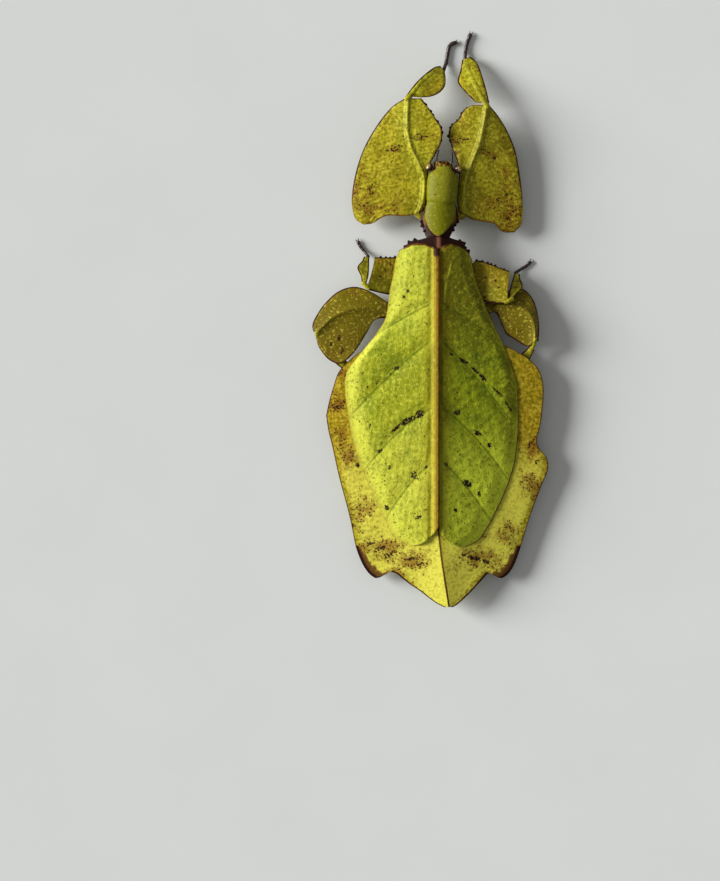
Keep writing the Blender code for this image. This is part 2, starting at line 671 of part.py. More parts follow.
def wing(name, edges, side, colour):
    """One fore wing. Its rows run from the rib to the edge, and the side veins stand up as ridges."""
    near = LEFT_NEAR if side < 0 else RIGHT_NEAR
    tops, bottoms = [], []
    for inner, outer, bow, on_vein in wing_rows(edges, LEFT_INNER if side < 0 else RIGHT_INNER):
        reach = (outer - inner).length
        shares = [step / reach for step in near]
        far = shares[-1]
        step = (EDGE_STRIP - far) / WING_COLUMNS
        shares += [far + step * (k + 1) for k in range(WING_COLUMNS)] + [1.0]
        top_row, bottom_row = [], []
        for u in shares:
            p = inner.lerp(outer, u)
            p = Vector((p.x, p.y + bow * 4 * u * (1 - u)))
            low = back(p.x, p.y)
            thick = WING_THICK
            if on_vein and abs(p.x) > VEINS_FROM and u < EDGE_STRIP:
                thick += VEIN_HEIGHT
            if side < 0:
                low += OVERLAP_RISE * min(max((p.x - RISE_FROM) / RISE_OVER, 0.0), 1.0)
                thick += MIDRIB_HEIGHT * max(1 - abs(p.x - MIDRIB_AT) / MIDRIB_HALF_WIDTH, 0.0)
            elif RIGHT_RIB[0] < p.x < RIGHT_RIB[1]:
                thick += RIGHT_RIB_HEIGHT
            bottom_row.append(Vector((p.x, p.y, low)))
            top_row.append(Vector((p.x, p.y, low + thick)))
        tops.append(top_row)
        bottoms.append(bottom_row)
    return blade(name, tops, bottoms, colour)


wing("fore_wing_left", LEFT_EDGE, -1, GREEN)
wing("fore_wing_right", RIGHT_EDGE, 1, SHADE)

# Fore legs, each as it lies: the femur with a broad outer lobe and a smaller inner one with teeth in front.
FEMUR_LEFT_SHAFT = [(-5.5, 29.3, 4.5), (-4.8, 32.0, 4.7), (-4.7, 37.5, 5.0), (-6.2, 42.8, 5.6),
                    (-7.1, 49.5, 6.2), (-7.4, 57.7, 6.4)]
FEMUR_LEFT_OUTER = [(-18.9, 26.6, 3.4), (-21.2, 29.4, 3.4), (-21.4, 33.8, 3.5), (-20.4, 39.6, 3.8),
                    (-18.4, 45.5, 4.2), (-15.1, 51.2, 4.8), (-11.6, 55.5, 5.4), (-8.3, 57.7, 6.1)]
FEMUR_LEFT_BASE = [(-5.5, 29.3, 4.5), (-7.9, 28.4, 4.6), (-11.9, 28.9, 4.4), (-14.4, 27.8, 4.1),
                   (-15.9, 26.1, 3.8), (-18.9, 26.6, 3.4)]
FEMUR_LEFT_INNER = [(-4.3, 29.8, 4.4), (-3.8, 33.0, 4.5), (-3.6, 38.0, 4.9), (-2.6, 40.8, 5.2),
                    (-0.4, 44.0, 5.0), (0.9, 46.8, 5.0), (1.1, 50.0, 5.1), (-0.4, 52.5, 5.3),
                    (-1.9, 54.8, 5.6), (-4.0, 57.7, 6.0)]
FEMUR_RIGHT_SHAFT = [(6.6, 28.9, 4.5), (6.5, 32.0, 4.7), (6.8, 37.0, 5.0), (8.4, 41.5, 5.5),
                     (10.4, 46.5, 6.0), (11.6, 52.0, 6.3), (12.2, 56.0, 6.4)]
FEMUR_RIGHT_OUTER = [(19.4, 24.6, 3.4), (21.2, 27.0, 3.4), (21.4, 31.8, 3.5), (20.8, 37.8, 3.8),
                     (19.6, 44.5, 4.2), (17.6, 49.5, 4.8), (15.1, 53.5, 5.4), (12.9, 56.0, 6.1)]
FEMUR_RIGHT_BASE = [(6.6, 28.9, 4.5), (8.6, 27.7, 4.6), (11.1, 27.2, 4.4), (14.4, 26.5, 4.1),
                    (16.4, 24.5, 3.8), (19.4, 24.6, 3.4)]
FEMUR_RIGHT_INNER = [(5.6, 29.4, 4.4), (5.4, 33.0, 4.5), (5.6, 37.5, 4.9), (5.3, 41.0, 5.2),
                     (3.7, 45.3, 5.0), (2.8, 48.4, 5.0), (3.2, 50.8, 5.1), (5.1, 52.6, 5.3),
                     (6.5, 54.9, 5.6), (8.8, 56.1, 6.0)]
FEMUR_RADII = (1.1, 1.0, 0.9)
# Share of the inner lobe's edge, from its base, between which it has teeth.
FEMUR_TEETH = (0.62, 0.95)
FORE_FEMORA = (("left", FEMUR_LEFT_SHAFT, FEMUR_LEFT_OUTER, FEMUR_LEFT_BASE, FEMUR_LEFT_INNER),
               ("right", FEMUR_RIGHT_SHAFT, FEMUR_RIGHT_OUTER, FEMUR_RIGHT_BASE, FEMUR_RIGHT_INNER))
for word, shaft, outer, base, inner in FORE_FEMORA:
    femur = lobed_limb("fore_femur_" + word, shaft, [(outer, base, None, 7), (inner, None, None, 5)],
                       FEMUR_RADII, 16, LOBE)
    teeth(femur, inner, shaft[4], *FEMUR_TEETH)

SHIN_RADII = (0.8, 0.7, 0.6)
lobed_limb("fore_tibia_left",
           [(-7.0, 58.1, 6.3), (-4.9, 61.0, 5.1), (-2.2, 63.6, 3.4), (1.1, 65.1, 1.8)],
           [([(-7.8, 58.2, 6.2), (-5.7, 61.3, 5.0), (-3.1, 64.1, 3.3), (0.7, 65.9, 1.7)], None, None, 4),
            ([(-4.0, 58.0, 6.0), (-1.0, 58.2, 5.5), (1.2, 59.6, 4.6), (1.9, 62.0, 3.2), (1.8, 64.5, 1.9)],
             None, None, 5)],
           SHIN_RADII, 9, LOBE)
lobed_limb("fore_tibia_right",
           [(11.8, 56.4, 6.3), (9.8, 60.3, 5.1), (7.9, 64.3, 3.2), (7.0, 67.4, 1.7)],
           [([(13.0, 56.5, 6.2), (12.4, 59.5, 5.2), (11.6, 62.6, 3.9), (10.4, 65.6, 2.6), (8.8, 67.9, 1.7)],
             None, None, 5),
            ([(9.2, 56.5, 6.0), (6.9, 59.4, 5.2), (5.3, 62.0, 3.9), (6.0, 65.0, 2.5), (6.3, 67.4, 1.7)],
             None, None, 4)],
           SHIN_RADII, 9, LOBE)

FOOT_BEADS = (0.75, 1.0, 0.75, 1.0, 0.75, 1.0, 0.8, 1.05, 0.8, 1.15, 0.8)


def foot(name, path, radius):
    """A five-jointed foot that lies on the floor, with a pair of claws at its tip."""
    line = curve_through(path, len(FOOT_BEADS))
    obj = rod(name, line, [radius * size for size in FOOT_BEADS], 8, DARK, floor=0.0)
    ahead = (line[-1] - line[-2]).xy.normalized()
    claws = []
    for side in (-1, 1):
        turn = math.radians(side * CLAW_SPREAD)
        out = Vector((ahead.x * math.cos(turn) - ahead.y * math.sin(turn),
                      ahead.x * math.sin(turn) + ahead.y * math.cos(turn), 0))
        beside = Vector((-ahead.y, ahead.x, 0)) * side * CLAW_APART
        claws.append(spike(line[-1] + beside, out, CLAW_LENGTH, CLAW_HALF, CLAW_HALF))
    fuse(obj, claws)


FORE_FOOT_LEFT = [(1.7, 65.7, 1.1), (2.2, 66.9, 0.6), (2.5, 69.2, 0.45), (3.0, 71.0, 0.45),
                  (4.4, 71.8, 0.45)]
FORE_FOOT_RIGHT = [(7.1, 68.1, 1.1), (7.2, 69.6, 0.6), (7.5, 71.3, 0.45), (7.9, 72.6, 0.45),
                   (8.3, 73.7, 0.45)]
FORE_FOOT_RADIUS = 0.5
REAR_FOOT_RADIUS = 0.45
foot("fore_tarsus_left", FORE_FOOT_LEFT, FORE_FOOT_RADIUS)
foot("fore_tarsus_right", FORE_FOOT_RIGHT, FORE_FOOT_RADIUS)

# Middle legs: the right one as it lies, the left one its mirror image swung forward.
MID_SHAFT = [(7.0, 9.6, 4.2), (9.0, 9.0, 4.7), (12.0, 8.3, 5.4), (17.3, 7.0, 7.0)]
MID_FRONT = [(8.6, 15.6, 4.9), (9.6, 17.4, 4.9), (12.6, 16.7, 5.3), (15.8, 15.4, 5.6), (18.0, 14.7, 5.7)]
MID_FRONT_BASE = [(7.0, 9.6, 4.2), (7.6, 12.8, 4.6), (8.6, 15.6, 4.9)]
MID_FRONT_END = [(17.3, 7.0, 7.0), (17.5, 10.5, 6.4), (18.0, 14.7, 5.7)]
MID_REAR = [(7.0, 8.5, 4.3), (9.5, 7.5, 4.9), (13.0, 6.8, 6.0), (17.0, 6.3, 6.9)]
MID_TIBIA = [(18.2, 7.4, 6.9), (18.8, 10.0, 4.9), (20.1, 14.3, 1.7)]
MID_TIBIA_OUTER = [(18.8, 7.1, 6.8), (19.7, 9.0, 5.7), (21.3, 10.8, 4.7), (20.8, 13.0, 2.9),
                   (20.8, 14.2, 1.7)]
MID_TIBIA_INNER = [(17.8, 7.9, 6.8), (18.1, 10.3, 4.9), (19.5, 14.6, 1.7)]
MID_FOOT = [(20.4, 15.0, 1.1), (21.3, 15.6, 0.6), (22.6, 16.4, 0.45), (23.6, 17.4, 0.45)]
MID_FEMUR_RADII = (1.0, 0.95, 0.85)
MID_SHIN_RADII = (0.65, 0.55, 0.5)
MID_HIP = (-7.0, 9.6)
LEFT_MID_TURN = -20.0


def middle_leg(word, place):
    """One middle leg, with each of its points put in its place first."""
    femur = lobed_limb("mid_femur_" + word, place(MID_SHAFT),
                       [(place(MID_FRONT), place(MID_FRONT_BASE), place(MID_FRONT_END), 6),
                        (place(MID_REAR), None, None, 4)], MID_FEMUR_RADII, 10, LOBE)
    teeth(femur, place(MID_FRONT), place(MID_SHAFT)[2])
    lobed_limb("mid_tibia_" + word, place(MID_TIBIA),
               [(place(MID_TIBIA_OUTER), None, None, 5), (place(MID_TIBIA_INNER), None, None, 3)],
               MID_SHIN_RADII, 9, LOBE)
    foot("mid_tarsus_" + word, place(MID_FOOT), REAR_FOOT_RADIUS)


middle_leg("right", lambda points: points)
middle_leg("left", lambda points: mirrored(points, LEFT_MID_TURN, MID_HIP))

# Hind legs: the femur arches out to the knee and the shin folds back under the belly's margin.
HIND_RIGHT = {
    "shaft": [(7.4, 2.6, 3.8), (10.5, 4.4, 4.2), (14.4, 5.8, 4.6), (18.9, 6.1, 5.2), (22.6, 4.4, 5.8),
              (24.2, 1.0, 5.8), (24.3, -2.6, 5.6)],
    "front": [(7.8, 4.0, 3.8), (12.5, 7.0, 4.4), (16.4, 9.2, 3.9), (19.6, 10.5, 3.2), (22.0, 10.1, 3.3),
              (24.1, 7.4, 4.1), (25.1, 3.8, 4.9), (25.4, 0.4, 5.3), (25.2, -2.9, 5.4)],
    "rear": [(7.6, 1.4, 3.8), (11.0, 3.0, 4.4), (14.4, 4.4, 4.9), (16.2, 1.0, 4.9), (17.2, -1.0, 4.8),
             (19.4, -2.4, 4.7), (21.8, -3.9, 4.8), (23.2, -4.0, 5.2)],
    "shin": [(23.7, -4.5, 4.3), (21.3, -7.6, 3.2), (17.0, -13.2, 1.5)],
    "foot": [(16.6, -13.9, 1.0), (15.9, -15.2, 0.6), (14.9, -17.4, 0.45), (14.2, -19.4, 0.45)],
}
HIND_LEFT = {
    "shaft": [(-7.4, 2.6, 3.9), (-11.0, 4.4, 4.5), (-16.0, 5.6, 5.1), (-21.5, 5.2, 5.6), (-26.0, 3.2, 5.8),
              (-28.9, 0.6, 5.8), (-30.1, -1.0, 5.6)],
    "front": [(-7.8, 4.0, 3.8), (-12.5, 7.0, 4.4), (-17.0, 9.8, 3.9), (-21.0, 10.9, 3.4), (-25.0, 9.6, 3.6),
              (-28.4, 6.4, 4.2), (-30.6, 3.0, 4.9), (-31.3, 1.0, 5.3), (-31.0, -0.4, 5.4)],
    "rear": [(-7.6, 1.4, 3.8), (-11.5, 2.8, 4.4), (-15.5, 2.6, 4.9), (-17.6, -0.6, 5.3),
             (-19.8, -4.2, 5.6), (-22.0, -6.9, 5.6), (-24.4, -8.4, 5.3), (-27.2, -7.4, 5.0),
             (-29.6, -4.4, 5.0), (-30.3, -2.0, 5.3)],
    "shin": [(-29.4, -3.0, 3.9), (-25.5, -6.6, 3.0), (-19.8, -12.0, 1.5)],
    "foot": [(-19.2, -12.6, 1.0), (-18.2, -13.7, 0.6), (-16.6, -15.5, 0.45), (-15.4, -17.2, 0.45)],
}


HIND_FEMUR_RADII = (1.0, 1.0, 0.85)
HIND_SHIN_RADII = (0.6, 0.55, 0.5)
# Half width of the hind shin at its knee, at its middle and at its foot.
HIND_SHIN_HALF_WIDTHS = (0.8, 1.28, 0.64)


def shin_edges(path):
    """The two edges of a narrow blade along a path."""
    path = [Vector(p) for p in path]
    one, two = [], []
    for k, p in enumerate(path):
        ahead = path[min(k + 1, len(path) - 1)] - path[max(k - 1, 0)]
        side = Vector((ahead.y, -ahead.x, 0)).normalized()
        one.append(p + side * HIND_SHIN_HALF_WIDTHS[k])
        two.append(p - side * HIND_SHIN_HALF_WIDTHS[k])
    return one, two


def hind_leg(word, plan):
    """One hind leg, from the curves of its parts."""
    lobed_limb("hind_femur_" + word, plan["shaft"],
               [(plan["front"], None, None, 6), (plan["rear"], None, None, 6)], HIND_FEMUR_RADII, 14, LOBE)
    one, two = shin_edges(plan["shin"])
    lobed_limb("hind_tibia_" + word, plan["shin"], [(one, None, None, 3), (two, None, None, 3)],
               HIND_SHIN_RADII, 8, LOBE)
    foot("hind_tarsus_" + word, plan["foot"], REAR_FOOT_RADIUS)


hind_leg("right", HIND_RIGHT)
hind_leg("left", HIND_LEFT)

# Hips between the trunk and the femora.
HIPS = [("fore_coxa_left", (-3.5, 28.0, 4.4), (-4.75, 28.8, 4.5), 0.9),
        ("fore_coxa_right", (4.4, 27.8, 4.4), (5.9, 28.4, 4.5), 0.9),
        ("mid_coxa_left", (-5.2, 9.7, 4.1), (-6.5, 9.6, 4.2), 1.1),
        ("mid_coxa_right", (5.2, 9.7, 4.1), (6.5, 9.6, 4.2), 1.1),
        ("hind_coxa_left", (-5.6, 2.2, 3.8), (-7.1, 2.5, 3.9), 1.1),
        ("hind_coxa_right", (5.6, 2.2, 3.8), (7.1, 2.5, 3.9), 1.1)]
for name, start, end, radius in HIPS:
    start, end = Vector(start), Vector(end)
    rod(name, [start, start.lerp(end, 0.4), end], [radius * 1.1, radius, radius * 0.8], 8, BROWN)

# The origin goes under the middle of the whole insect's box.
places = [vertex.co for obj in insect.objects for vertex in obj.data.vertices]
middle = [(min(p[k] for p in places) + max(p[k] for p in places)) / 2 for k in range(2)]
for obj in insect.objects:
    obj.location = (-middle[0], -middle[1], 0)
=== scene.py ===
import math
import random

import bpy
import numpy as np
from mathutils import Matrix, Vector


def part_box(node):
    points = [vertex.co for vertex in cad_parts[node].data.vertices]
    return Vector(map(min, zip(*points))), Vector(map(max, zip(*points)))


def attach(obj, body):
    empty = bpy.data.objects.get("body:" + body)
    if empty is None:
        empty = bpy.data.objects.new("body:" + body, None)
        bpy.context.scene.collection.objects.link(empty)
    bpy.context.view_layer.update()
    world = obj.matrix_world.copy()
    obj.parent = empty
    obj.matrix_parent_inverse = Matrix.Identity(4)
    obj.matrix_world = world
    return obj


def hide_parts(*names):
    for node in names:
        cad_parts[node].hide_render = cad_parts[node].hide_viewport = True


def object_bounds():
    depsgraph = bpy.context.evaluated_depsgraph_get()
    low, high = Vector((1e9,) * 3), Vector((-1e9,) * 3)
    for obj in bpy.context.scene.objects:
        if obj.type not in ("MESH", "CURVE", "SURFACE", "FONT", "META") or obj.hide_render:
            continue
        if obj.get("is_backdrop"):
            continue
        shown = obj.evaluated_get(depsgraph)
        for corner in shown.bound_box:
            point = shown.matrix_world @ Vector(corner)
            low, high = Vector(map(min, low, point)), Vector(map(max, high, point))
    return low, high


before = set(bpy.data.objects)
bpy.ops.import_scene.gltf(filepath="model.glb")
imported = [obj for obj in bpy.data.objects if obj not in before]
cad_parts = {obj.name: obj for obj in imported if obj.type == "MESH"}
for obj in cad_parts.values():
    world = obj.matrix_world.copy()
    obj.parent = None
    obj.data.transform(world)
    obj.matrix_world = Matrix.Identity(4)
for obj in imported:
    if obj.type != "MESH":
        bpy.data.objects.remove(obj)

cad_low, cad_high = (corner.copy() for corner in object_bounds())

# Sizes are in millimetres in the insect's own axes, as in the solids: +Y runs along the body to the head,
# +X to the insect's right side, +Z up from the floor.
MM = 0.001
# Pieces that don't run into each other keep this gap, and the wings the next one over the back.
GAP = 0.3
WING_LIFT = 0.08
SIDES = (("left", -1), ("right", 1))

# The origin of those axes is found from the metathorax, whose middle lies at this place.
META_MIDDLE = np.array([0.0, 3.15])
meta_low, meta_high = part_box("metathorax")
SHIFT = np.array([(meta_low.x + meta_high.x) / 2 / MM, (meta_low.y + meta_high.y) / 2 / MM]) - META_MIDDLE

# Masks that every surface carries. rim is the distance from the margin in millimetres, and the others run
# from none to full. warm is the red of the stalk between the wings and the orange of their rib, and a fleck
# below none keeps brown dots away. known tells points that carry masks from those that a union makes.
# deep is where painted shade darkens a surface with its shade tone.
FIELDS = ("rim", "gold", "pale", "rust", "spot", "smooth", "vein", "deep", "fleck", "warm")
FAR_RIM = 6.0
KNOWN = "known"
NO_FLECKS = -1.0
UP = np.array([0.0, 0.0, 1.0])
scene = bpy.context.scene


# Shapes

def smooth_table(places, window):
    """Turns a few (place, value) pairs into a fine table that has no kinks."""
    rising = sorted(places)
    step = 0.25
    at = np.arange(rising[0][0], rising[-1][0] + step, step)
    value = np.interp(at, *zip(*rising))
    half = int(window / step / 2)
    weight = np.hanning(2 * half + 3)[1:-1]
    padded = np.pad(value, half, mode="reflect", reflect_type="odd")
    return at, np.convolve(padded, weight / weight.sum(), mode="valid")


# Along the body, as places and values: the height of the back's ridge, the height of the belly, and the
# half width of the deep part of the trunk. The last number is how many millimetres each is smoothed over.
CREST = smooth_table([(24.0, 8.2), (12.0, 8.8), (0.0, 9.0), (-20.0, 8.8), (-40.0, 7.8), (-55.0, 6.6),
                      (-70.0, 5.4)], 12)
KEEL = smooth_table([(23.0, 3.6), (12.0, 2.0), (0.0, 1.0), (-12.0, -0.3), (-35.0, -0.3), (-48.0, 1.4),
                     (-60.0, 3.6), (-70.0, 4.6)], 8)
CORE = smooth_table([(23.0, 2.4), (19.0, 4.0), (8.0, 4.6), (0.0, 5.2), (-8.0, 8.0), (-25.0, 8.8),
                     (-40.0, 7.6), (-52.0, 5.2), (-62.0, 3.4), (-70.0, 1.0)], 6)
ROOF_SLOPE = 0.21
ROOF_EASE = 0.0022
RIM_THICK = 0.7
TAIL_BEND_AT = -46.0
TAIL_TIP = (2.8, -69.2)


def axis(y):
    """Sideways place of the body's middle line."""
    reach = np.clip((TAIL_BEND_AT - y) / (TAIL_BEND_AT - TAIL_TIP[1]), 0, 1)
    return TAIL_TIP[0] * reach ** 1.4


def back(x, y):
    """Height of the underside of the wings over the trunk."""
    off = np.abs(x - axis(y))
    return np.interp(y, *CREST) - ROOF_SLOPE * off + ROOF_EASE * off * off


def curve(points, shares):
    """Places on a smooth curve through the points, at the given shares of its length."""
    points = np.array(points, float)
    ends = np.vstack([2 * points[0] - points[1], points, 2 * points[-1] - points[-2]])
    t = np.linspace(0, 1, 24, endpoint=False)[:, None]
    spans = []
    for a, b, c, d in zip(ends, ends[1:], ends[2:], ends[3:]):
        spans.append(0.5 * (2 * b + (c - a) * t + (2 * a - 5 * b + 4 * c - d) * t ** 2
                            + (3 * b - a - 3 * c + d) * t ** 3))
    fine = np.vstack(spans + [points[-1:]])
    length = np.concatenate([[0], np.cumsum(np.linalg.norm(np.diff(fine, axis=0), axis=1))])
    at = np.asarray(shares) * length[-1]
    return np.stack([np.interp(at, length, column) for column in fine.T], axis=-1)


def ripple(x, y, size, seed):
    """Soft uneven waves of about the given size, between -1 and 1."""
    draw = np.random.default_rng(seed)
    total = 0.0
    for _ in range(6):
        turn, phase = draw.uniform(0, 2 * np.pi, 2)
        wave = size * draw.uniform(0.7, 1.5)
        total = total + np.sin((x * np.cos(turn) + y * np.sin(turn)) * 2 * np.pi / wave + phase)
    return total / 4


def ease(value, start, end):
    """Runs from none at start to full at end without a corner."""
    t = np.clip((value - start) / (end - start), 0, 1)
    return t * t * (3 - 2 * t)


# The line of a ring, as a share of the ring's own size.
RING_LINE = 0.28


def marks_at(x, y, marks, hollow=False):
    """How dark the marks make each place. A mark is its place, half length, half width and turn in degrees,
    and a hollow one is a ring."""
    found = np.zeros_like(x)
    for place_x, place_y, half_long, half_wide, turn in marks:
        c, s = math.cos(math.radians(turn)), math.sin(math.radians(turn))
        along = ((x - place_x) * c + (y - place_y) * s) / half_long
        across = (-(x - place_x) * s + (y - place_y) * c) / half_wide
        reach = np.hypot(along, across)
        found = np.maximum(found, np.exp(-(((reach - 1) / RING_LINE if hollow else reach) ** 2)))
    return found


def closed_sheet(top, bottom, **fields):
    """A closed piece between an upper and a lower grid of places."""
    rows, columns = top.shape[:2]
    low = rows * columns
    index = np.arange(low).reshape(rows, columns)
    quads = []
    for grid, turn in ((index, 1), (index + low, -1)):
        corners = [grid[:-1, :-1], grid[:-1, 1:], grid[1:, 1:], grid[1:, :-1]]
        quads.append(np.stack(corners[::turn], -1).reshape(-1, 4))
    ring = np.concatenate([index[0], index[1:, -1], index[-1, -2::-1], index[-2:0:-1, 0]])
    after = np.roll(ring, -1)
    quads.append(np.stack([after, ring, ring + low, after + low], -1))
    values = {name: np.tile(np.broadcast_to(value, (rows, columns)).ravel(), 2)
              for name, value in fields.items()}
    points = np.vstack([top.reshape(-1, 3), bottom.reshape(-1, 3)])
    return points, [tuple(face) for face in np.vstack(quads).tolist()], values


def closed_tube(rings, **fields):
    """A closed piece through rings of places, with fanned ends."""
    count, sides = rings.shape[:2]
    index = np.arange(count * sides).reshape(count, sides)
    turned = np.roll(index, -1, axis=1)
    faces = np.stack([index[:-1], turned[:-1], turned[1:], index[1:]], -1).reshape(-1, 4).tolist()
    points = np.vstack([rings.reshape(-1, 3), rings[0].mean(0), rings[-1].mean(0)])
    faces += [(count * sides, b, a) for a, b in zip(index[0].tolist(), turned[0].tolist())]
    faces += [(count * sides + 1, a, b) for a, b in zip(index[-1].tolist(), turned[-1].tolist())]
    values = {}
    for name, value in fields.items():
        grid = np.broadcast_to(value, (count, sides))
        values[name] = np.concatenate([grid.ravel(), [grid[0].mean(), grid[-1].mean()]])
    return points, [tuple(face) for face in faces], values


def rod(path, radii, sides=20, flatten=1.0, floor=None, **fields):
    """A round rod along a path, with a radius at each of its places."""
    path = np.array(path, float)
    ahead = np.gradient(path, axis=0)
    side = np.cross(ahead, [0, 0, 1.0])
    side /= np.linalg.norm(side, axis=1, keepdims=True)
    up = np.cross(side, ahead)
    up /= np.linalg.norm(up, axis=1, keepdims=True)
    turn = 2 * np.pi * (np.arange(sides) + 0.5) / sides
    radii = np.array(radii, float)[:, None, None]
    rings = path[:, None] + radii * (np.cos(turn)[None, :, None] * side[:, None]
                                     + flatten * np.sin(turn)[None, :, None] * up[:, None])
    if floor is not None:
        rings[..., 2] = np.maximum(rings[..., 2], floor)
    return closed_tube(rings, **fields)


# A thorn's places along its length and its size there; it starts this deep in what it stands on.
THORN_PROFILE = ((0.0, 1.0), (0.35, 0.72), (0.7, 0.4), (1.0, 0.08))
THORN_ROOT = 0.5


def thorn(place, ahead, length, half_wide, half_high, **fields):
    """A slim pointed spike that starts inside what it stands on."""
    place, ahead = np.array(place, float), np.array(ahead, float)
    ahead /= np.linalg.norm(ahead)
    side = np.array([ahead[1], -ahead[0], 0.0])
    side /= np.linalg.norm(side)
    up = np.cross(side, ahead)
    turn = 2 * np.pi * np.arange(8) / 8
    rings = []
    for step, size in [(-THORN_ROOT, 1.0)] + [(share * length, size) for share, size in THORN_PROFILE]:
        rings.append(place + ahead * step + size * (half_wide * np.cos(turn)[:, None] * side
                                                    + half_high * np.sin(turn)[:, None] * up))
    return closed_tube(np.array(rings), **fields)


def as_object(name, piece):
    """Makes a mesh object from a closed piece, with its faces turned outwards and its masks on its
    points."""
    points, faces, values = piece
    corners = points[np.array([face[:3] for face in faces])]
    if np.einsum("ij,ij->i", corners[:, 0], np.cross(corners[:, 1], corners[:, 2])).sum() < 0:
        faces = [face[::-1] for face in faces]
    mesh = bpy.data.meshes.new(name)
    mesh.from_pydata(((points + np.append(SHIFT, 0.0)) * MM).tolist(), [], faces)
    mesh.update()
    for field in FIELDS + (KNOWN,):
        layer = mesh.attributes.new(field, "FLOAT", "POINT")
        value = values.get(field, {"rim": FAR_RIM, KNOWN: 1.0}.get(field, 0.0))
        layer.data.foreach_set("value", np.broadcast_to(value, len(points)).astype(np.float32))
    mesh.shade_smooth()
    obj = bpy.data.objects.new(name, mesh)
    scene.collection.objects.link(obj)
    return obj


def fill_seams(mesh):
    """Gives the points that a union makes, which have no masks, the mean masks of their neighbours."""
    ends = np.empty(2 * len(mesh.edges), dtype=np.int32)
    mesh.edges.foreach_get("vertices", ends)
    ends = ends.reshape(-1, 2)
    masks = np.empty((len(FIELDS) + 1, len(mesh.vertices)), dtype=np.float32)
    for row, field in zip(masks, FIELDS + (KNOWN,)):
        mesh.attributes[field].data.foreach_get("value", row)
    known = masks[-1] > 0.99
    for _ in range(3):
        total = np.zeros_like(masks)
        weight = np.zeros(len(known))
        for near, far in (ends.T, ends.T[::-1]):
            np.add.at(weight, near, known[far])
            for field in range(len(masks)):
                np.add.at(total[field], near, masks[field, far] * known[far])
        fill = ~known & (weight > 0)
        masks[:, fill] = total[:, fill] / weight[fill]
        known = known | fill
    for row, field in zip(masks, FIELDS):
        mesh.attributes[field].data.foreach_set("value", row)
    mesh.attributes.remove(mesh.attributes[KNOWN])


SEAM_ANGLE = math.radians(62)


def joined(name, pieces):
    """Makes one closed skin from pieces that run into each other."""
    objects = [as_object(name if k == 0 else f"{name}_{k}", piece) for k, piece in enumerate(pieces)]
    group = bpy.data.collections.new(name + "_pieces")
    for obj in objects[1:]:
        group.objects.link(obj)
    union = objects[0].modifiers.new("union", "BOOLEAN")
    union.operation = "UNION"
    union.operand_type = "COLLECTION"
    union.collection = group
    union.solver = "MANIFOLD"
    graph = bpy.context.evaluated_depsgraph_get()
    whole = bpy.data.meshes.new_from_object(objects[0].evaluated_get(graph))
    objects[0].modifiers.clear()
    objects[0].data = whole
    whole.name = name
    fill_seams(whole)
    for obj in objects[1:]:
        bpy.data.objects.remove(obj)
    bpy.data.collections.remove(group)
    whole.shade_smooth()
    whole.set_sharp_from_angle(angle=SEAM_ANGLE)
    return objects[0]


# The trunk in one run from the neck to the tail. Each row is the place of its middle, of its left and of
# its right margin, and the width of the dark band along the margins there.
PRO_ROWS = [((0.6, 30.9), (-3.2, 30.9), (4.5, 30.9), 0.2), ((0.6, 29.6), (-3.5, 29.6), (4.9, 29.6), 0.35),
            ((0.5, 28.0), (-4.2, 28.0), (5.2, 28.0), 1.05), ((0.4, 26.6), (-4.1, 26.6), (4.9, 26.6), 1.35),
            ((0.3, 25.2), (-3.7, 25.2), (4.0, 25.2), 1.35), ((0.3, 24.0), (-3.3, 24.0), (3.5, 24.0), 1.9),
            ((0.3, 23.2), (-3.0, 23.2), (3.1, 23.2), 2.6)]
MESO_ROWS = [((0.4, 22.9), (-2.8, 22.9), (3.1, 22.9), 3.0), ((0.3, 22.3), (-4.6, 22.4), (4.5, 22.4), 2.6),
             ((0.2, 21.4), (-7.2, 21.9), (6.5, 21.9), 1.6), ((0.1, 20.2), (-7.9, 20.5), (6.9, 20.3), 0.9),
             ((0.0, 18.9), (-9.2, 19.1), (7.9, 18.7), 0.7), ((0.0, 17.4), (-7.6, 17.4), (7.3, 17.4), 0.5),
             ((0.0, 16.0), (-6.0, 16.0), (6.0, 16.0), 0.5), ((0.0, 12.0), (-5.6, 12.0), (5.6, 12.0), 0.3),
             ((0.0, 8.2), (-5.9, 8.2), (5.9, 8.2), 0.3)]
META_ROWS = [((0.0, y), (-6.3, y), (6.3, y), 0.3) for y in (7.9, 5.0, 2.0, -1.6)]
FRONT_LEFT = [(-9.0, -2.2), (-14.5, -3.2), (-19.5, -5.6), (-23.9, -9.4), (-25.3, -12.0), (-27.1, -17.8),
              (-27.8, -21.2)]
FRONT_RIGHT = [(9.0, -2.2), (15.5, -3.4), (20.8, -6.0), (23.6, -7.9), (25.5, -10.2), (26.4, -13.0),
               (26.5, -17.0), (26.1, -21.2)]
REAR_LEFT = [(-27.8, -21.6), (-27.3, -25.0), (-26.1, -30.0), (-24.6, -36.8), (-22.1, -46.2), (-20.5, -54.0)]
REAR_RIGHT = [(26.1, -21.6), (25.6, -24.6), (24.9, -27.5), (25.5, -29.7), (27.2, -31.6), (27.8, -34.0),
              (27.2, -36.4), (25.9, -39.4), (23.4, -46.2), (21.0, -54.0)]
FRONT_MIDDLES = (-1.9, -16.0, 9)
REAR_MIDDLES = (-16.4, -46.0, 20)
MARGIN_BAND = 0.12
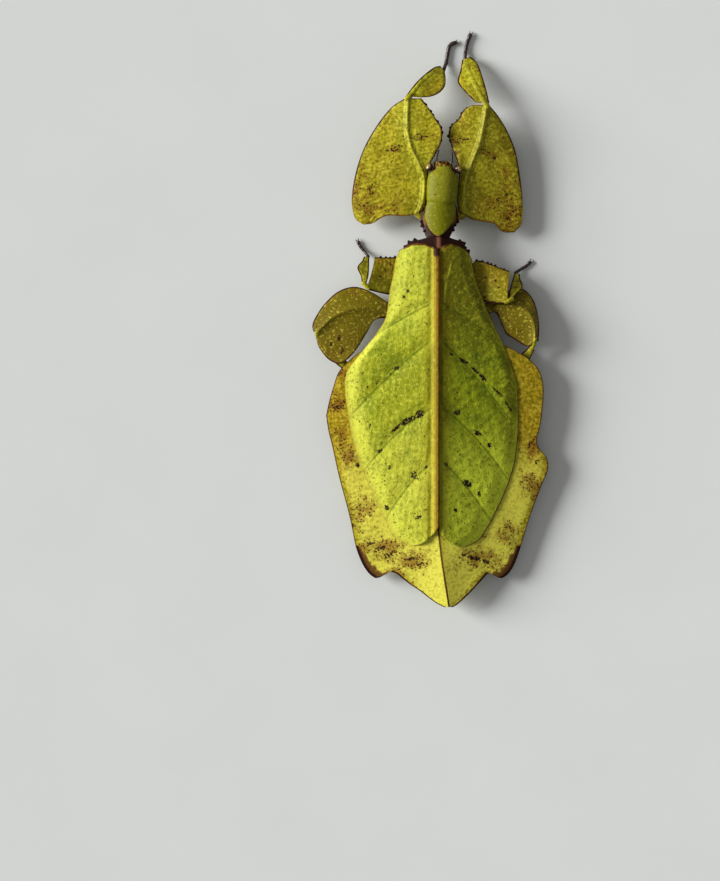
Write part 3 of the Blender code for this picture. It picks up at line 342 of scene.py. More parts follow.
TIP_ROWS = [(-46.4, (-20.4, -54.4), (20.9, -54.4), 0.8), (-48.4, (-19.6, -56.7), (20.1, -56.8), 1.4),
            (-50.0, (-18.6, -58.9), (19.2, -59.0), 1.9), (-51.5, (-17.2, -60.9), (17.9, -61.0), 2.3),
            (-52.8, (-15.6, -62.1), (16.3, -62.1), 2.5), (-53.8, (-14.1, -61.8), (14.9, -61.8), 2.0),
            (-54.8, (-13.2, -60.7), (14.2, -60.9), 1.2), (-56.2, (-12.0, -60.5), (13.5, -60.7), 0.6),
            (-58.0, (-10.4, -60.9), (12.4, -61.2), 0.5), (-60.5, (-8.7, -62.2), (11.0, -62.7), 0.45),
            (-63.0, (-6.8, -63.7), (9.6, -64.2), 0.4), (-65.2, (-4.6, -65.1), (8.0, -65.9), 0.4),
            (-67.0, (-2.4, -66.8), (6.3, -67.5), 0.4), (-68.4, (-0.3, -68.3), (4.9, -68.7), 0.4),
            (-69.2, (1.7, -69.3), (3.8, -69.3), 0.4)]
PRO_TOP, PRO_FALL, PRO_MIDDLE = 8.9, 0.09, 0.55
PRO_CORE, PRO_KEEL = 2.9, 3.0
FLANGE_DROP = 0.5
PRO_END = 23.05

# Fine rows to each given one, and how far a row's neighbours bend the curve through it.
TRUNK_ROWS_EACH = 6
LOOSENESS = 0.42
CORE_COLUMNS, RIM_COLUMNS = 18, 26
# The abdomen begins here. Its rings are shallow folds with this length between them, and its margin is
# wrinkled.
ABDOMEN_FRONT = -4
RING_LENGTH, RING_DEPTH, RING_HALF = 7.4, 0.10, 0.35
WRINKLE_LENGTH, WRINKLE_HEIGHT = 1.5, 0.045
WAVE_LENGTH, WAVE_HEIGHT = 9.0, 0.12

# Dark spots on the body, and where brown dots crowd.
BODY_MARKS = [(-24.5, -19.3, 1.6, 0.4, 5), (-26.4, -18.8, 0.5, 0.6, 0), (-20.8, -31.6, 0.5, 1.0, 20),
              (-20.2, -33.8, 0.5, 0.7, 30), (-14.2, -54.6, 1.4, 0.5, 15), (-12.0, -56.4, 1.2, 0.7, 10),
              (-16.4, -53.4, 0.7, 0.4, 0), (-6.6, -57.2, 1.4, 0.4, 10), (-4.2, -58.5, 1.0, 0.4, 30),
              (9.2, -57.0, 1.5, 0.6, -10), (12.2, -58.0, 1.1, 0.5, -20), (6.6, -56.2, 0.7, 0.4, 0),
              (23.2, -28.4, 0.4, 0.8, 0), (25.0, -33.0, 0.4, 0.6, 0), (-21.3, -49.0, 0.4, 0.5, 0)]
BODY_FLECKS = [(-25.0, -18.5, 3.0, 2.0, 0), (-23.5, -26.0, 1.6, 3.0, 0), (-22.4, -31.5, 2.0, 3.4, 0),
               (-18.6, -45.4, 4.8, 3.4, 50), (-14.0, -54.8, 6.2, 3.8, 10), (-7.0, -57.6, 5.4, 3.0, 0),
               (10.4, -57.2, 5.6, 3.2, 0), (24.0, -30.0, 1.8, 3.4, 0), (23.4, -39.0, 2.2, 5.0, 20),
               (17.6, -51.5, 3.4, 3.6, 0), (-10.8, -60.0, 2.0, 1.4, 0), (-24.0, -10.5, 2.4, 1.4, -50)]


def steady_rows(left, right, middles):
    """Rows between two margin curves, whose middles run from one place to another."""
    start, end, count = middles
    shares = np.linspace(0, 1, count)
    lefts, rights = curve(left, shares), curve(right, shares)
    rows = []
    for y, one, two in zip(start + (end - start) * shares, lefts, rights):
        rows.append(((float(axis(y)), y), tuple(one), tuple(two), MARGIN_BAND))
    return rows


def trunk():
    """The skin of the thorax and abdomen."""
    rows = PRO_ROWS + MESO_ROWS + META_ROWS
    rows += steady_rows(FRONT_LEFT, FRONT_RIGHT, FRONT_MIDDLES)
    rows += steady_rows(REAR_LEFT, REAR_RIGHT, REAR_MIDDLES)
    rows += [((float(axis(y)), y), left, right, band) for y, left, right, band in TIP_ROWS]
    table = np.array([[*middle, *left, *right, band] for middle, left, right, band in rows])
    # Fine rows between the given ones, closer where the given ones are close.
    fine_steps = np.linspace(0, len(table) - 1, (len(table) - 1) * TRUNK_ROWS_EACH + 1)
    t = fine_steps - np.minimum(np.floor(fine_steps), len(table) - 2)
    k = np.minimum(np.floor(fine_steps).astype(int), len(table) - 2)
    before, here, after, beyond = (table[np.clip(k + d, 0, len(table) - 1)] for d in (-1, 0, 1, 2))
    slope_here = LOOSENESS * (after - before)
    slope_after = LOOSENESS * (beyond - here)
    t = t[:, None]
    fine = ((2 * t ** 3 - 3 * t ** 2 + 1) * here + (t ** 3 - 2 * t ** 2 + t) * slope_here
            + (3 * t ** 2 - 2 * t ** 3) * after + (t ** 3 - t ** 2) * slope_after)
    middle, band = fine[:, 0:2], fine[:, 6]
    core_columns = np.sin(np.linspace(0, np.pi / 2, CORE_COLUMNS))
    rim_columns = 1 - np.cos(np.linspace(0, np.pi / 2, RIM_COLUMNS)) ** 1.4
    top, bottom, rim = [], [], []
    for order, edge in ((-1, fine[:, 2:4]), (1, fine[:, 4:6])):
        reach = np.linalg.norm(edge - middle, axis=1)
        in_front = ease(middle[:, 1], PRO_END - 0.1, PRO_END + 0.1)
        half = np.minimum(np.interp(middle[:, 1], *CORE) * (1 - in_front) + PRO_CORE * in_front, reach * 0.8)
        inner = half[:, None] * core_columns
        outer = half[:, None] + (reach - half)[:, None] * rim_columns[1:]
        step = np.concatenate([inner, outer], axis=1)
        share = step / reach[:, None]
        x, y = (middle[:, k:k + 1] + (edge - middle)[:, k:k + 1] * share for k in (0, 1))
        from_edge = reach[:, None] - step
        roof = back(x, y) - WING_LIFT
        shield = PRO_TOP - PRO_FALL * (x - PRO_MIDDLE) ** 2
        height = roof + (shield - roof) * in_front[:, None]
        inside = np.clip(1 - (step / half[:, None]) ** 2.6, 0, 1) ** 0.6
        keel = np.interp(y, *KEEL)
        keel = keel + (PRO_KEEL - keel) * in_front[:, None]
        depth = np.maximum(height - RIM_THICK - keel, 0) * inside
        low = np.maximum(height - RIM_THICK - depth, 0)
        # The margin thins to its edge and is a little uneven, and the abdomen's rings show as shallow
        # folds.
        thin = ease(from_edge, 1.6, 0.0)
        wave = WAVE_HEIGHT * ripple(x, y, WAVE_LENGTH, 3) * ease(from_edge, 0.0, 3.0)
        along = np.concatenate([[0], np.cumsum(np.linalg.norm(np.diff(edge, axis=0), axis=1))])[:, None]
        crease = np.sin(2 * np.pi * along / WRINKLE_LENGTH + 2.5 * ripple(x, y, 6.0, 13))
        wave = wave + WRINKLE_HEIGHT * crease * ease(from_edge, 7.0, 3.0) * ease(from_edge, 0.1, 1.2)
        off_ring = (y + 0.12 * step + 2.0) % RING_LENGTH - RING_LENGTH / 2
        fold = -RING_DEPTH * np.exp(-(off_ring / RING_HALF) ** 2)
        behind = y < ABDOMEN_FRONT
        fold = fold * ease(step, half[:, None] * 0.9, half[:, None] * 1.2) * behind * (y > -56)
        height = height + fold + wave * behind - 0.10 * thin
        flange = band[:, None]
        height = height - FLANGE_DROP * in_front[:, None] * ease(from_edge, flange + 0.2, flange - 0.3)
        low = low + 0.22 * thin + wave * behind * (inside <= 0)
        sheet_top = np.stack([x, y, height], -1)
        sheet_bottom = np.stack([x, y, np.minimum(low, height - 0.2)], -1)
        if order == -1:
            sheet_top, sheet_bottom, from_edge = (a[:, :0:-1] for a in (sheet_top, sheet_bottom, from_edge))
        top.append(sheet_top)
        bottom.append(sheet_bottom)
        rim.append(from_edge)
    top, bottom, rim = (np.concatenate(pair, axis=1) for pair in (top, bottom, rim))
    x, y = top[..., 0], top[..., 1]
    wide = band[:, None]
    uneven = 1 + 0.22 * ripple(x, y, 2.2, 5)
    uneven = uneven + (1 - uneven) * ease(y, 22.0, 23.0)
    rust = ease(rim, wide * uneven + 0.25, wide * uneven - 0.15)
    # The flange beside the prothorax is olive brown in front, and dark only at its edge.
    rust = rust * (1 - 0.62 * ease(y, 24.6, 27.6) * ease(rim, 0.35, 0.7))
    # The curled corners are red brown, and dark only at their edge.
    rust = rust * (1 - 0.36 * ease(y, -40.0, -44.0) * ease(rim, 0.3, 0.9))
    middle_line = np.exp(-((x - axis(y) - 0.1) / 0.20) ** 2) * ease(y, -47.5, -50.0)
    warm = np.exp(-((x - 0.2) / 0.42) ** 2) * ease(y, 18.5, 20.0) * ease(y, 23.6, 23.0)
    rust = np.maximum(rust, middle_line)
    thorax_dark = ease(y, 18.0, 20.0) * ease(y, 23.4, 23.1)
    rust = np.maximum(rust, thorax_dark) * (1 - 0.9 * warm)
    smooth = ease(y, 23.0, 23.3)
    # The abdomen's margins are golden, its rear corners and tail pale yellow.
    gold = 0.6 * ease(rim, 8.0, 4.5) * (y < 0) * ease(y, -46.0, -28.0) + 0.2 * (y < 0)
    gold = np.maximum(gold, 0.55 * ease(y, -50.0, -56.0) * ease(rim, 3.2, 1.0))
    pale = ease(y, -24.0, -38.0) * ease(rim, 0.4, 2.0) * (0.85 + 0.15 * ripple(x, y, 6.0, 17))
    tail = ease(np.abs(x - axis(y)), 9.0, 6.0) * ease(y, -48.0, -52.0)
    # Right of the middle line the tail is less pale: painted shade on the face that slopes away from the
    # light.
    pale = np.maximum(pale, tail * (1.0 - 0.35 * ease(x - axis(y), -0.3, 0.6)))
    spot = marks_at(x, y, BODY_MARKS)
    fleck = 1.6 * marks_at(x, y, BODY_FLECKS) + 0.25 * ease(rim, 3.0, 1.0) * (y < 0)
    fleck = fleck - 0.8 * (y > ABDOMEN_FRONT)
    return closed_sheet(top, bottom, rim=rim, gold=gold, rust=rust, smooth=smooth, spot=spot, pale=pale,
                        warm=warm, fleck=fleck)


def trunk_margin(rows, side, height):
    """The edge of some rows of the trunk on one side, at the height that a function gives."""
    edges = [row[1 if side < 0 else 2] for row in rows]
    return [(x, y, height(x, y)) for x, y in edges]


# Head: rings along its own slightly turned line, each a share of its length and of its full width.
HEAD_REAR = np.array([0.9, 31.45, 6.1])
HEAD_FRONT = np.array([1.6, 42.1, 6.3])
HEAD_HALF_WIDTH, HEAD_HALF_HEIGHT = 3.9, 2.9
HEAD_UNDER = 0.85
HEAD_POWER = 0.93
HEAD_STEPS, HEAD_SIDES = 90, 96
HEAD_RINGS = [(0.0, 0.80), (0.04, 0.90), (0.12, 0.96), (0.28, 0.99), (0.45, 1.0), (0.60, 0.97), (0.69, 0.87),
              (0.78, 0.71), (0.86, 0.62), (0.93, 0.52), (0.975, 0.36), (1.0, 0.16)]
head_line = HEAD_FRONT - HEAD_REAR
head_ahead = head_line / np.linalg.norm(head_line)
head_side = np.array([head_line[1], -head_line[0], 0.0])
head_side /= np.linalg.norm(head_side)


def head_size(share):
    """How wide the head is at a share of its length, as a share of its full width."""
    return np.interp(share, *zip(*HEAD_RINGS))


def head_point(share, size, turn, power=HEAD_POWER):
    """A place on a ring of the head; the ring is a rounded box, a little flatter below."""
    c, s = np.cos(turn), np.sin(turn)
    wide = HEAD_HALF_WIDTH * size * np.sign(c) * np.abs(c) ** power
    tall = HEAD_HALF_HEIGHT * size * np.sign(s) * np.abs(s) ** power * np.where(s > 0, 1.0, HEAD_UNDER)
    return (HEAD_REAR + head_line * np.asarray(share)[..., None] + head_side * np.asarray(wide)[..., None]
            + UP * np.asarray(tall)[..., None])


def under_head(across, share):
    """A place on the underside of the head, across millimetres to the right of its middle line."""
    size = head_size(share)
    cosine = min(abs(across) / (HEAD_HALF_WIDTH * size), 1.0) ** (1 / HEAD_POWER)
    return head_point(share, size, -math.acos(math.copysign(cosine, across)))


HEAD_MARKS = [(0.1, 36.0, 0.24, 0.24, 0), (-0.75, 33.5, 0.2, 0.2, 0), (2.1, 32.9, 0.22, 0.2, 0),
              (2.9, 36.1, 0.18, 0.18, 0), (0.9, 38.6, 0.16, 0.16, 0)]


def head():
    """The skin of the head: smooth olive, with a fold behind the eyes and fine dots."""
    profile = curve(HEAD_RINGS, np.linspace(0, 1, HEAD_STEPS))
    share, size = profile[:, 0:1], profile[:, 1:2]
    turn = 2 * np.pi * (np.arange(HEAD_SIDES)[None, :] + 0.5) / HEAD_SIDES
    beside = np.abs(np.cos(turn))
    fold = 1 - 0.012 * np.exp(-((share - 0.16) / 0.02) ** 2) - 0.010 * np.exp(-((share - 0.62) / 0.03) ** 2)
    brow = 1 + 0.05 * np.exp(-((share - 0.74) / 0.07) ** 2) * np.exp(-((beside - 0.75) / 0.2) ** 2)
    rings = head_point(share + 0 * turn, size * fold * brow, turn + 0 * share)
    x, y = rings[..., 0], rings[..., 1]
    front = ease(share, 0.94, 1.0) + 0 * turn
    spot = marks_at(x, y, HEAD_MARKS) * (np.sin(turn) > 0)
    crown = np.exp(-((np.cos(turn)) / 0.5) ** 2) * (np.sin(turn) > 0)
    # The front is blotched with brown, and a broken cream crescent crosses it.
    patchy = 0.5 + 0.5 * ripple(x, y, 1.1, 15)
    crescent = 0.5 * np.exp(-((share - 0.965) / 0.012) ** 2) * ease(np.sin(turn), 0.3, 0.9) * (1 - patchy)
    browed = ease(share, 0.80, 0.93) * (0.05 + 1.2 * patchy) * (np.sin(turn) > -0.2)
    cheek = np.exp(-((share - 0.80) / 0.09) ** 2) * ease(beside, 0.55, 0.8) * (0.3 + 0.8 * patchy)
    rust = np.maximum(np.maximum(0.95 * front, browed), cheek) * (1 - crescent)
    pale = np.maximum(0.12 * crown, crescent)
    return closed_tube(rings, smooth=1.0, rust=rust, spot=spot, pale=pale, fleck=NO_FLECKS)


# Eyes sit on the front corners of the head, turned a little forward. These are their half sizes.
EYE_OUT, EYE_ALONG, EYE_UP = 0.75, 1.15, 1.0
EYE_STEPS, EYE_SIDES = 40, 56
EYE_SHARE = 0.775
EYE_TURN = math.radians(30)
EYE_RISE = 0.6


def eye(side):
    """One compound eye, sunk a little into its socket. Its rim mask is greatest where it faces up and
    out."""
    out = head_side * side * math.cos(EYE_TURN) + head_ahead * math.sin(EYE_TURN)
    across = head_ahead * math.cos(EYE_TURN) - head_side * side * math.sin(EYE_TURN)
    seat = HEAD_REAR + head_line * EYE_SHARE + head_side * side * HEAD_HALF_WIDTH * head_size(EYE_SHARE)
    centre = seat + out * (GAP + EYE_OUT * 0.96) + UP * EYE_RISE
    lift = np.linspace(0.02, np.pi - 0.02, EYE_STEPS)[:, None]
    turn = 2 * np.pi * np.arange(EYE_SIDES)[None, :] / EYE_SIDES
    # The inner half is drawn in, so that the eye meets the head.
    reach = np.where(np.cos(lift) > 0, 1.35, 1.0)
    rings = (centre - out * (EYE_OUT * reach * np.cos(lift) + 0 * turn)[..., None]
             + across * (EYE_ALONG * np.sin(lift) * np.cos(turn))[..., None]
             + UP * (EYE_UP * np.sin(lift) * np.sin(turn))[..., None])
    upward = -0.45 * np.cos(lift) + 0.89 * np.sin(lift) * np.sin(turn)
    return closed_tube(rings, rim=upward)


# Feelers, with where each one's tip lies from its root, and the shape of one bead.
ANTENNA_RADIUS = 0.3
ANTENNA_SHARE = 0.95
ANTENNA_BEADS = 9
ANTENNA_TAPER = 0.035
ANTENNA_REACH = {"left": np.array([0.5, 2.9, 0.3]), "right": np.array([0.05, 2.8, 0.2])}
BEAD_PROFILE = ((0.0, 0.62), (0.12, 0.86), (0.35, 1.0), (0.65, 1.05), (0.88, 0.9), (0.97, 0.66))


def antenna(word, side):
    """A feeler of nine short beads, of which the first is the pale stem."""
    out = head_side * side * 0.5 + head_ahead * 0.85 + UP * 0.15
    out /= np.linalg.norm(out)
    turn = math.radians(90 - side * 66)
    root = head_point(ANTENNA_SHARE, head_size(ANTENNA_SHARE), turn) - out * 0.1
    shares, radii, pale = [], [], []
    for bead in range(ANTENNA_BEADS):
        for share, size in BEAD_PROFILE:
            shares.append((bead + share) / ANTENNA_BEADS)
            radii.append(ANTENNA_RADIUS * size * (1 - ANTENNA_TAPER * bead))
            pale.append(1.0 if bead == 0 else 0.0)
    line = curve([root, root + out * 0.8, root + out * 0.6 + ANTENNA_REACH[word]], shares)
    return rod(line, radii, 14, pale=np.array(pale)[:, None])


# A mouth plate starts this deep in the head.
PLATE_ROOT = 0.15
PLATE_STEPS, PLATE_SIDES = 9, 28


def mouth_plate(across, share, half_wide, half_share, drop, **fields):
    """A plate of the mouth that hangs from the underside of the head."""
    rings = []
    for depth in np.linspace(0, 1, PLATE_STEPS):
        size = 0.9 + 0.1 * math.sin(math.pi * depth) - 0.45 * max(depth - 0.7, 0) ** 1.2
        ring = []
        for turn in 2 * np.pi * np.arange(PLATE_SIDES) / PLATE_SIDES:
            top = under_head(across + half_wide * size * math.cos(turn),
                             share + half_share * size * math.sin(turn))
            ring.append(top + UP * (PLATE_ROOT - (GAP + drop + PLATE_ROOT) * depth))
        rings.append(ring)
    return closed_tube(np.array(rings), **fields)


PALP_STEPS = 22


def palp(side):
    """A knotted mouth feeler that points forward under the head."""
    shares = np.linspace(0, 1, PALP_STEPS)
    start = under_head(side * 1.75, 0.72) - UP * (GAP + 0.1)
    steps = [(0.0, 0.0, 0.0), (0.2, 0.9, -0.8), (0.3, 2.0, -1.0), (0.1, 3.1, -0.9)]
    line = curve([start + np.array([side * x, y, z]) for x, y, z in steps], shares)
    knots = 1 - 0.22 * np.cos(6 * np.pi * shares) ** 8
    return rod(line, np.interp(shares, (0, 0.6, 0.9, 1), (0.34, 0.36, 0.4, 0.25)) * knots, 14)


# Fore wings: sections of the outer edge between the ends of the side veins, where each vein leaves the rib,
# and how far it bows.
WING_THICK = 0.55
OVERLAP_RISE = WING_THICK + GAP
LEFT_EDGE = [[(-9.6, 19.7), (-10.5, 17.4), (-11.1, 13.8), (-11.9, 10.0), (-12.9, 3.2), (-15.4, -1.2)],
             [(-15.4, -1.2), (-18.9, -5.5), (-22.6, -10.5), (-23.1, -15.0), (-22.2, -22.0)],
             [(-22.2, -22.0), (-21.1, -27.5), (-18.7, -35.3)],
             [(-18.7, -35.3), (-16.4, -40.5), (-13.2, -47.2)],
             [(-13.2, -47.2), (-11.0, -51.6), (-6.6, -53.8)]]
RIGHT_EDGE = [[(7.6, 19.2), (8.5, 17.4), (9.1, 13.8), (10.4, 9.8), (13.2, 3.0), (16.4, -3.6)],
              [(16.4, -3.6), (19.6, -12.5), (20.1, -17.2), (20.2, -25.6)],
              [(20.2, -25.6), (19.3, -33.0), (17.9, -38.0)],
              [(17.9, -38.0), (16.3, -42.0), (13.3, -48.2)],
              [(13.3, -48.2), (10.4, -52.4), (6.9, -54.2)]]
VEIN_ROOTS = [19.4, 7.6, -1.2, -18.4, -31.5, -49.0]
VEIN_BOWS = [1.9, 0.2, 1.2, 2.0, 1.6, -1.5]
LEFT_INNER, RIGHT_INNER = 0.35, -0.75
SECTION_ROWS = (44, 34, 52, 44, 44)
RIB_AT, RIB_HALF, RIB_HEIGHT = -0.42, 0.28, 0.08
# Close to the inner edge the wing has even columns, out to this width.
INNER_BAND = 2.6
VEIN_HALF, VEIN_HEIGHT = 0.26, 0.12
VALLEY_HALF, VALLEY_DEPTH = 0.8, 0.12
PUFF_WIDTH, PUFF_HEIGHT = 4.5, 0.36
THIN_WIDTH, THIN_BY = 4.5, 0.36
FAR_VEIN = 9.0
# A pale vein of the right wing, as places along and across the body.
PALE_VEIN = [(17.0, 3.4), (14.6, 3.0), (12.6, 2.3), (10.3, 1.9), (7.0, 1.6), (2.0, 1.3), (-50.0, 1.2)]
WING_MARKS = {
    "left": [(-4.5, -21.1, 1.1, 0.85, 25), (-6.4, -22.2, 0.9, 0.6, 30), (-8.0, -22.9, 1.2, 0.7, 36),
             (-10.4, -24.6, 1.5, 0.4, 40), (-6.0, -36.2, 0.65, 0.8, 0), (-5.0, -37.2, 0.6, 0.25, -20),
             (-10.2, -9.6, 0.6, 0.4, 20), (-4.8, -46.7, 1.0, 0.35, 25), (-14.4, -30.2, 0.6, 0.45, 20),
             (-12.1, -34.4, 0.45, 0.45, 0), (-12.7, -44.4, 0.7, 0.5, -30), (-7.5, 9.6, 0.5, 0.3, 60),
             (-8.5, 8.1, 0.4, 0.35, 0), (-6.1, 13.0, 0.4, 0.25, 60), (-17.5, -14.5, 0.35, 0.35, 0),
             (-15.2, -13.1, 0.55, 0.35, 20), (-18.9, -10.8, 0.35, 0.3, 0), (-2.9, -34.2, 0.5, 0.3, 10),
             (-17.0, -24.0, 0.4, 0.3, 40)],
    "right": [(6.5, -7.9, 1.2, 0.5, -35), (9.4, -10.3, 1.2, 0.28, -40), (11.2, -12.0, 1.2, 0.55, -40),
              (15.1, -15.8, 2.0, 0.28, -45), (17.6, -19.0, 1.6, 0.25, -55), (4.8, -20.6, 0.8, 0.6, -20),
              (9.8, -25.8, 1.2, 0.5, -25), (12.9, -28.8, 0.6, 0.6, 0), (7.3, -38.3, 1.1, 0.75, -30),
              (4.4, -45.0, 0.5, 0.4, 0), (2.0, -33.6, 0.35, 0.45, 0), (10.4, -41.0, 0.4, 0.75, 0),
              (3.4, -6.2, 0.5, 0.3, -30)],
}


def wing(word, side):
    """One fore wing, a leaf-like blade with a rib, side veins and panels that are a little puffed
    between."""
    edges = LEFT_EDGE if side < 0 else RIGHT_EDGE
    inner_x = LEFT_INNER if side < 0 else RIGHT_INNER
    inner, outer, bow, before, after = [], [], [], [], []
    for section, (edge, count) in enumerate(zip(edges, SECTION_ROWS)):
        shares = np.linspace(0, 1, count, endpoint=section == len(edges) - 1)
        root_a, root_b = VEIN_ROOTS[section:section + 2]
        bow_a, bow_b = VEIN_BOWS[section:section + 2]
        y = root_a + (root_b - root_a) * shares
        inner.append(np.stack([np.full_like(y, inner_x), y], -1))
        outer.append(curve(edge, shares))
        bow.append(bow_a + (bow_b - bow_a) * shares)
        outer_length = np.linalg.norm(np.diff(np.array(edge), axis=0), axis=1).sum()
        # Distances to the vein before and after, at the rib and at the edge.
        before.append(np.stack([shares * (root_a - root_b), shares * outer_length], -1) if section else
                      np.full((count, 2), FAR_VEIN))
        after.append(np.stack([(1 - shares) * (root_a - root_b), (1 - shares) * outer_length], -1)
                     if section < len(edges) - 1 else np.full((count, 2), FAR_VEIN))
    inner, outer, bow, before, after = (np.concatenate(part) for part in (inner, outer, bow, before, after))
    reach = np.linalg.norm(outer - inner, axis=1)[:, None]
    near = np.concatenate([np.linspace(0, 1.6, 20), [1.9, 2.2, INNER_BAND]])
    far = 1 - (1 - np.linspace(0, 1, 66)[1:]) ** 1.25
    step = np.concatenate([near + 0 * reach, INNER_BAND + (reach - INNER_BAND) * far], axis=1)
    share = step / reach
    place = inner[:, None] + (outer - inner)[:, None] * share[..., None]
    x = place[..., 0]
    y = place[..., 1] + bow[:, None] * 4 * share * (1 - share)
    from_vein = np.minimum(before[:, 0:1] + (before[:, 1:2] - before[:, 0:1]) * share,
                           after[:, 0:1] + (after[:, 1:2] - after[:, 0:1]) * share)
    from_edge = reach - step
    away = ease(np.abs(x - RIB_AT), 0.8, 2.4)
    fade = away * ease(from_edge, 0.0, PUFF_WIDTH)
    vein = np.exp(-(from_vein / VEIN_HALF) ** 2) * away * (0.45 + 0.55 * ease(from_edge, 0.3, 5.0))
    valley = np.exp(-(from_vein / VALLEY_HALF) ** 2) * fade
    puff = ease(from_vein, 0.0, PUFF_WIDTH) * fade
    low = back(x, y)
    thick = WING_THICK + VEIN_HEIGHT * vein - VALLEY_DEPTH * valley + PUFF_HEIGHT * puff
    thick = thick + (0.06 * ripple(x, y, 3.5, 21 + side) + 0.05 * ripple(x, y, 1.9, 27 + side)) * fade
    thick = thick - THIN_BY * ease(from_edge, THIN_WIDTH, 0.0)
    if side < 0:
        low = low + OVERLAP_RISE * ease(x, -1.6, -1.0)
        rib = np.exp(-((x - RIB_AT) / RIB_HALF) ** 2)
        thick = thick + RIB_HEIGHT * rib - 0.05 * np.exp(-((x + 2.0) / 0.5) ** 2)
        # Towards the front the rib is an orange band with dark streaks, behind that ochre with a dark line
        # at its right along the wing's inner edge. That line is the edge's own dark colour together with
        # painted shade of the step down to the right wing.
        front = ease(y, -3.0, 2.0)
        streaks = 0.5 + 0.5 * ripple(3 * x, 0.5 * y, 1.6, 33)
        edge_line_and_shadow = np.exp(-((x - 0.16) / 0.17) ** 4) * (0.80 + 0.2 * ripple(x, y, 2.5, 35))
        warm = (0.50 + 0.50 * front) * np.exp(-((x + 0.42 - 0.20 * front) / (0.72 - 0.20 * front)) ** 2)
        warm = warm * (0.65 + 0.3 * ripple(x, y, 1.8, 37))
        corner = np.exp(-((x + 0.1) / 1.1) ** 4) * ease(y, 17.4, 18.6)
        rust = np.maximum(0.9 * warm * streaks * ease(y, 2.0, 15.0), edge_line_and_shadow * (1 - 0.25 * front))
        rust = np.maximum(rust, corner)
        gold = np.maximum(rib, 0.6 * front * ease(x, -3.6, -1.0))
        gold = np.maximum(gold, 0.42 * np.exp(-((x - RIB_AT) / 3.2) ** 2))
        pale = 0.45 * ease(y, -6.0, 6.0) * (1 - gold)
        # Behind the front, the band along the outer margin is paler: painted light where the wing turns to
        # the light.
        pale = np.maximum(pale, 0.80 * ease(from_edge, 8.0, 1.0) * ease(y, 6.0, -4.0))
        pale = np.maximum(pale, 0.6 * ease(y, -18.0, -40.0) * (1 - gold))
        # Away from the outer margin the rear part is darkened with the shade tone: painted shade.
        deep = 0.40 * ease(from_edge, 5.0, 11.0) * ease(y, 2.0, -10.0)
        margin_dark = 0.35
    else:
        rib = np.exp(-((x - 1.4) / 0.5) ** 2)
        small_x = np.interp(y, *zip(*PALE_VEIN[::-1]))
        small = np.exp(-((x - small_x) / 0.28) ** 2) * ease(y, 18.5, 15.0)
        thick = thick + 0.10 * rib + 0.12 * small
        # Dark where the left wing lies over it and a little past the left wing's edge: painted shadow of the
        # left wing.
        rust = 0.9 * ease(x, 0.48, 0.36)
        warm = 0.35 * ease(y, -3.0, 2.0) * ease(x, 1.0, 0.4)
        # Besides its pale vein, the wing is paler towards the rear, which is painted light. It is darker in
        # front and along its outer part further forward, which is painted shade of a wing that slopes away
        # from the light.
        pale = np.maximum(0.8 * small * ease(y, 4.0, 9.0), 0.85 * ease(y, -18.0, -38.0))
        gold = 0.45 * ease(x, 5.0, 0.6)
        deep = 0.85 * ease(y, -14.0, 6.0) * (1 - small)
        deep = np.maximum(deep, 0.45 * ease(from_edge, 9.0, 2.0) * ease(y, -38.0, -28.0))
        margin_dark = 0.75
    rust = np.maximum(rust, margin_dark * ease(from_edge, 0.36, 0.10))
    top = np.stack([x, y, low + thick], -1)
    bottom = np.stack([x, y, low], -1)
    # A thin torn line of dark along the front margin.
    front_gap = np.hypot(x - x[0], y - y[0])
    torn = 0.95 * ease(front_gap, 0.62 + 0.25 * ripple(x, y, 1.6, 19), 0.30)
    rust = np.maximum(rust, torn * (0.75 + 0.25 * ripple(x, y, 1.3, 9)))
    return closed_sheet(top, bottom, rim=from_edge, vein=vein, rust=rust, pale=pale, gold=gold, deep=deep,
                        warm=warm, spot=marks_at(x, y, WING_MARKS[word]))


# Legs: a round shaft with a thin lobe on each side. The shaft has a crest on top and a groove to its right,
# the side away from the light. The crest is painted pale as a highlight and the groove dark as shade.
LOBE_HALF, LOBE_THINNING = 0.28, 0.14
CREST_HALF, CREST_HEIGHT = 0.42, 0.16
GROOVE_HALF, GROOVE_DEPTH = 0.20, 0.10
SHAFT_COLUMNS, LOBE_COLUMNS = 12, 32
SHAFT_FLATNESS = 0.52
GROOVE_AT = 0.62
CREASE_LENGTH = 1.0
FEMUR_CREASE, SMALL_CREASE = 0.09, 0.04


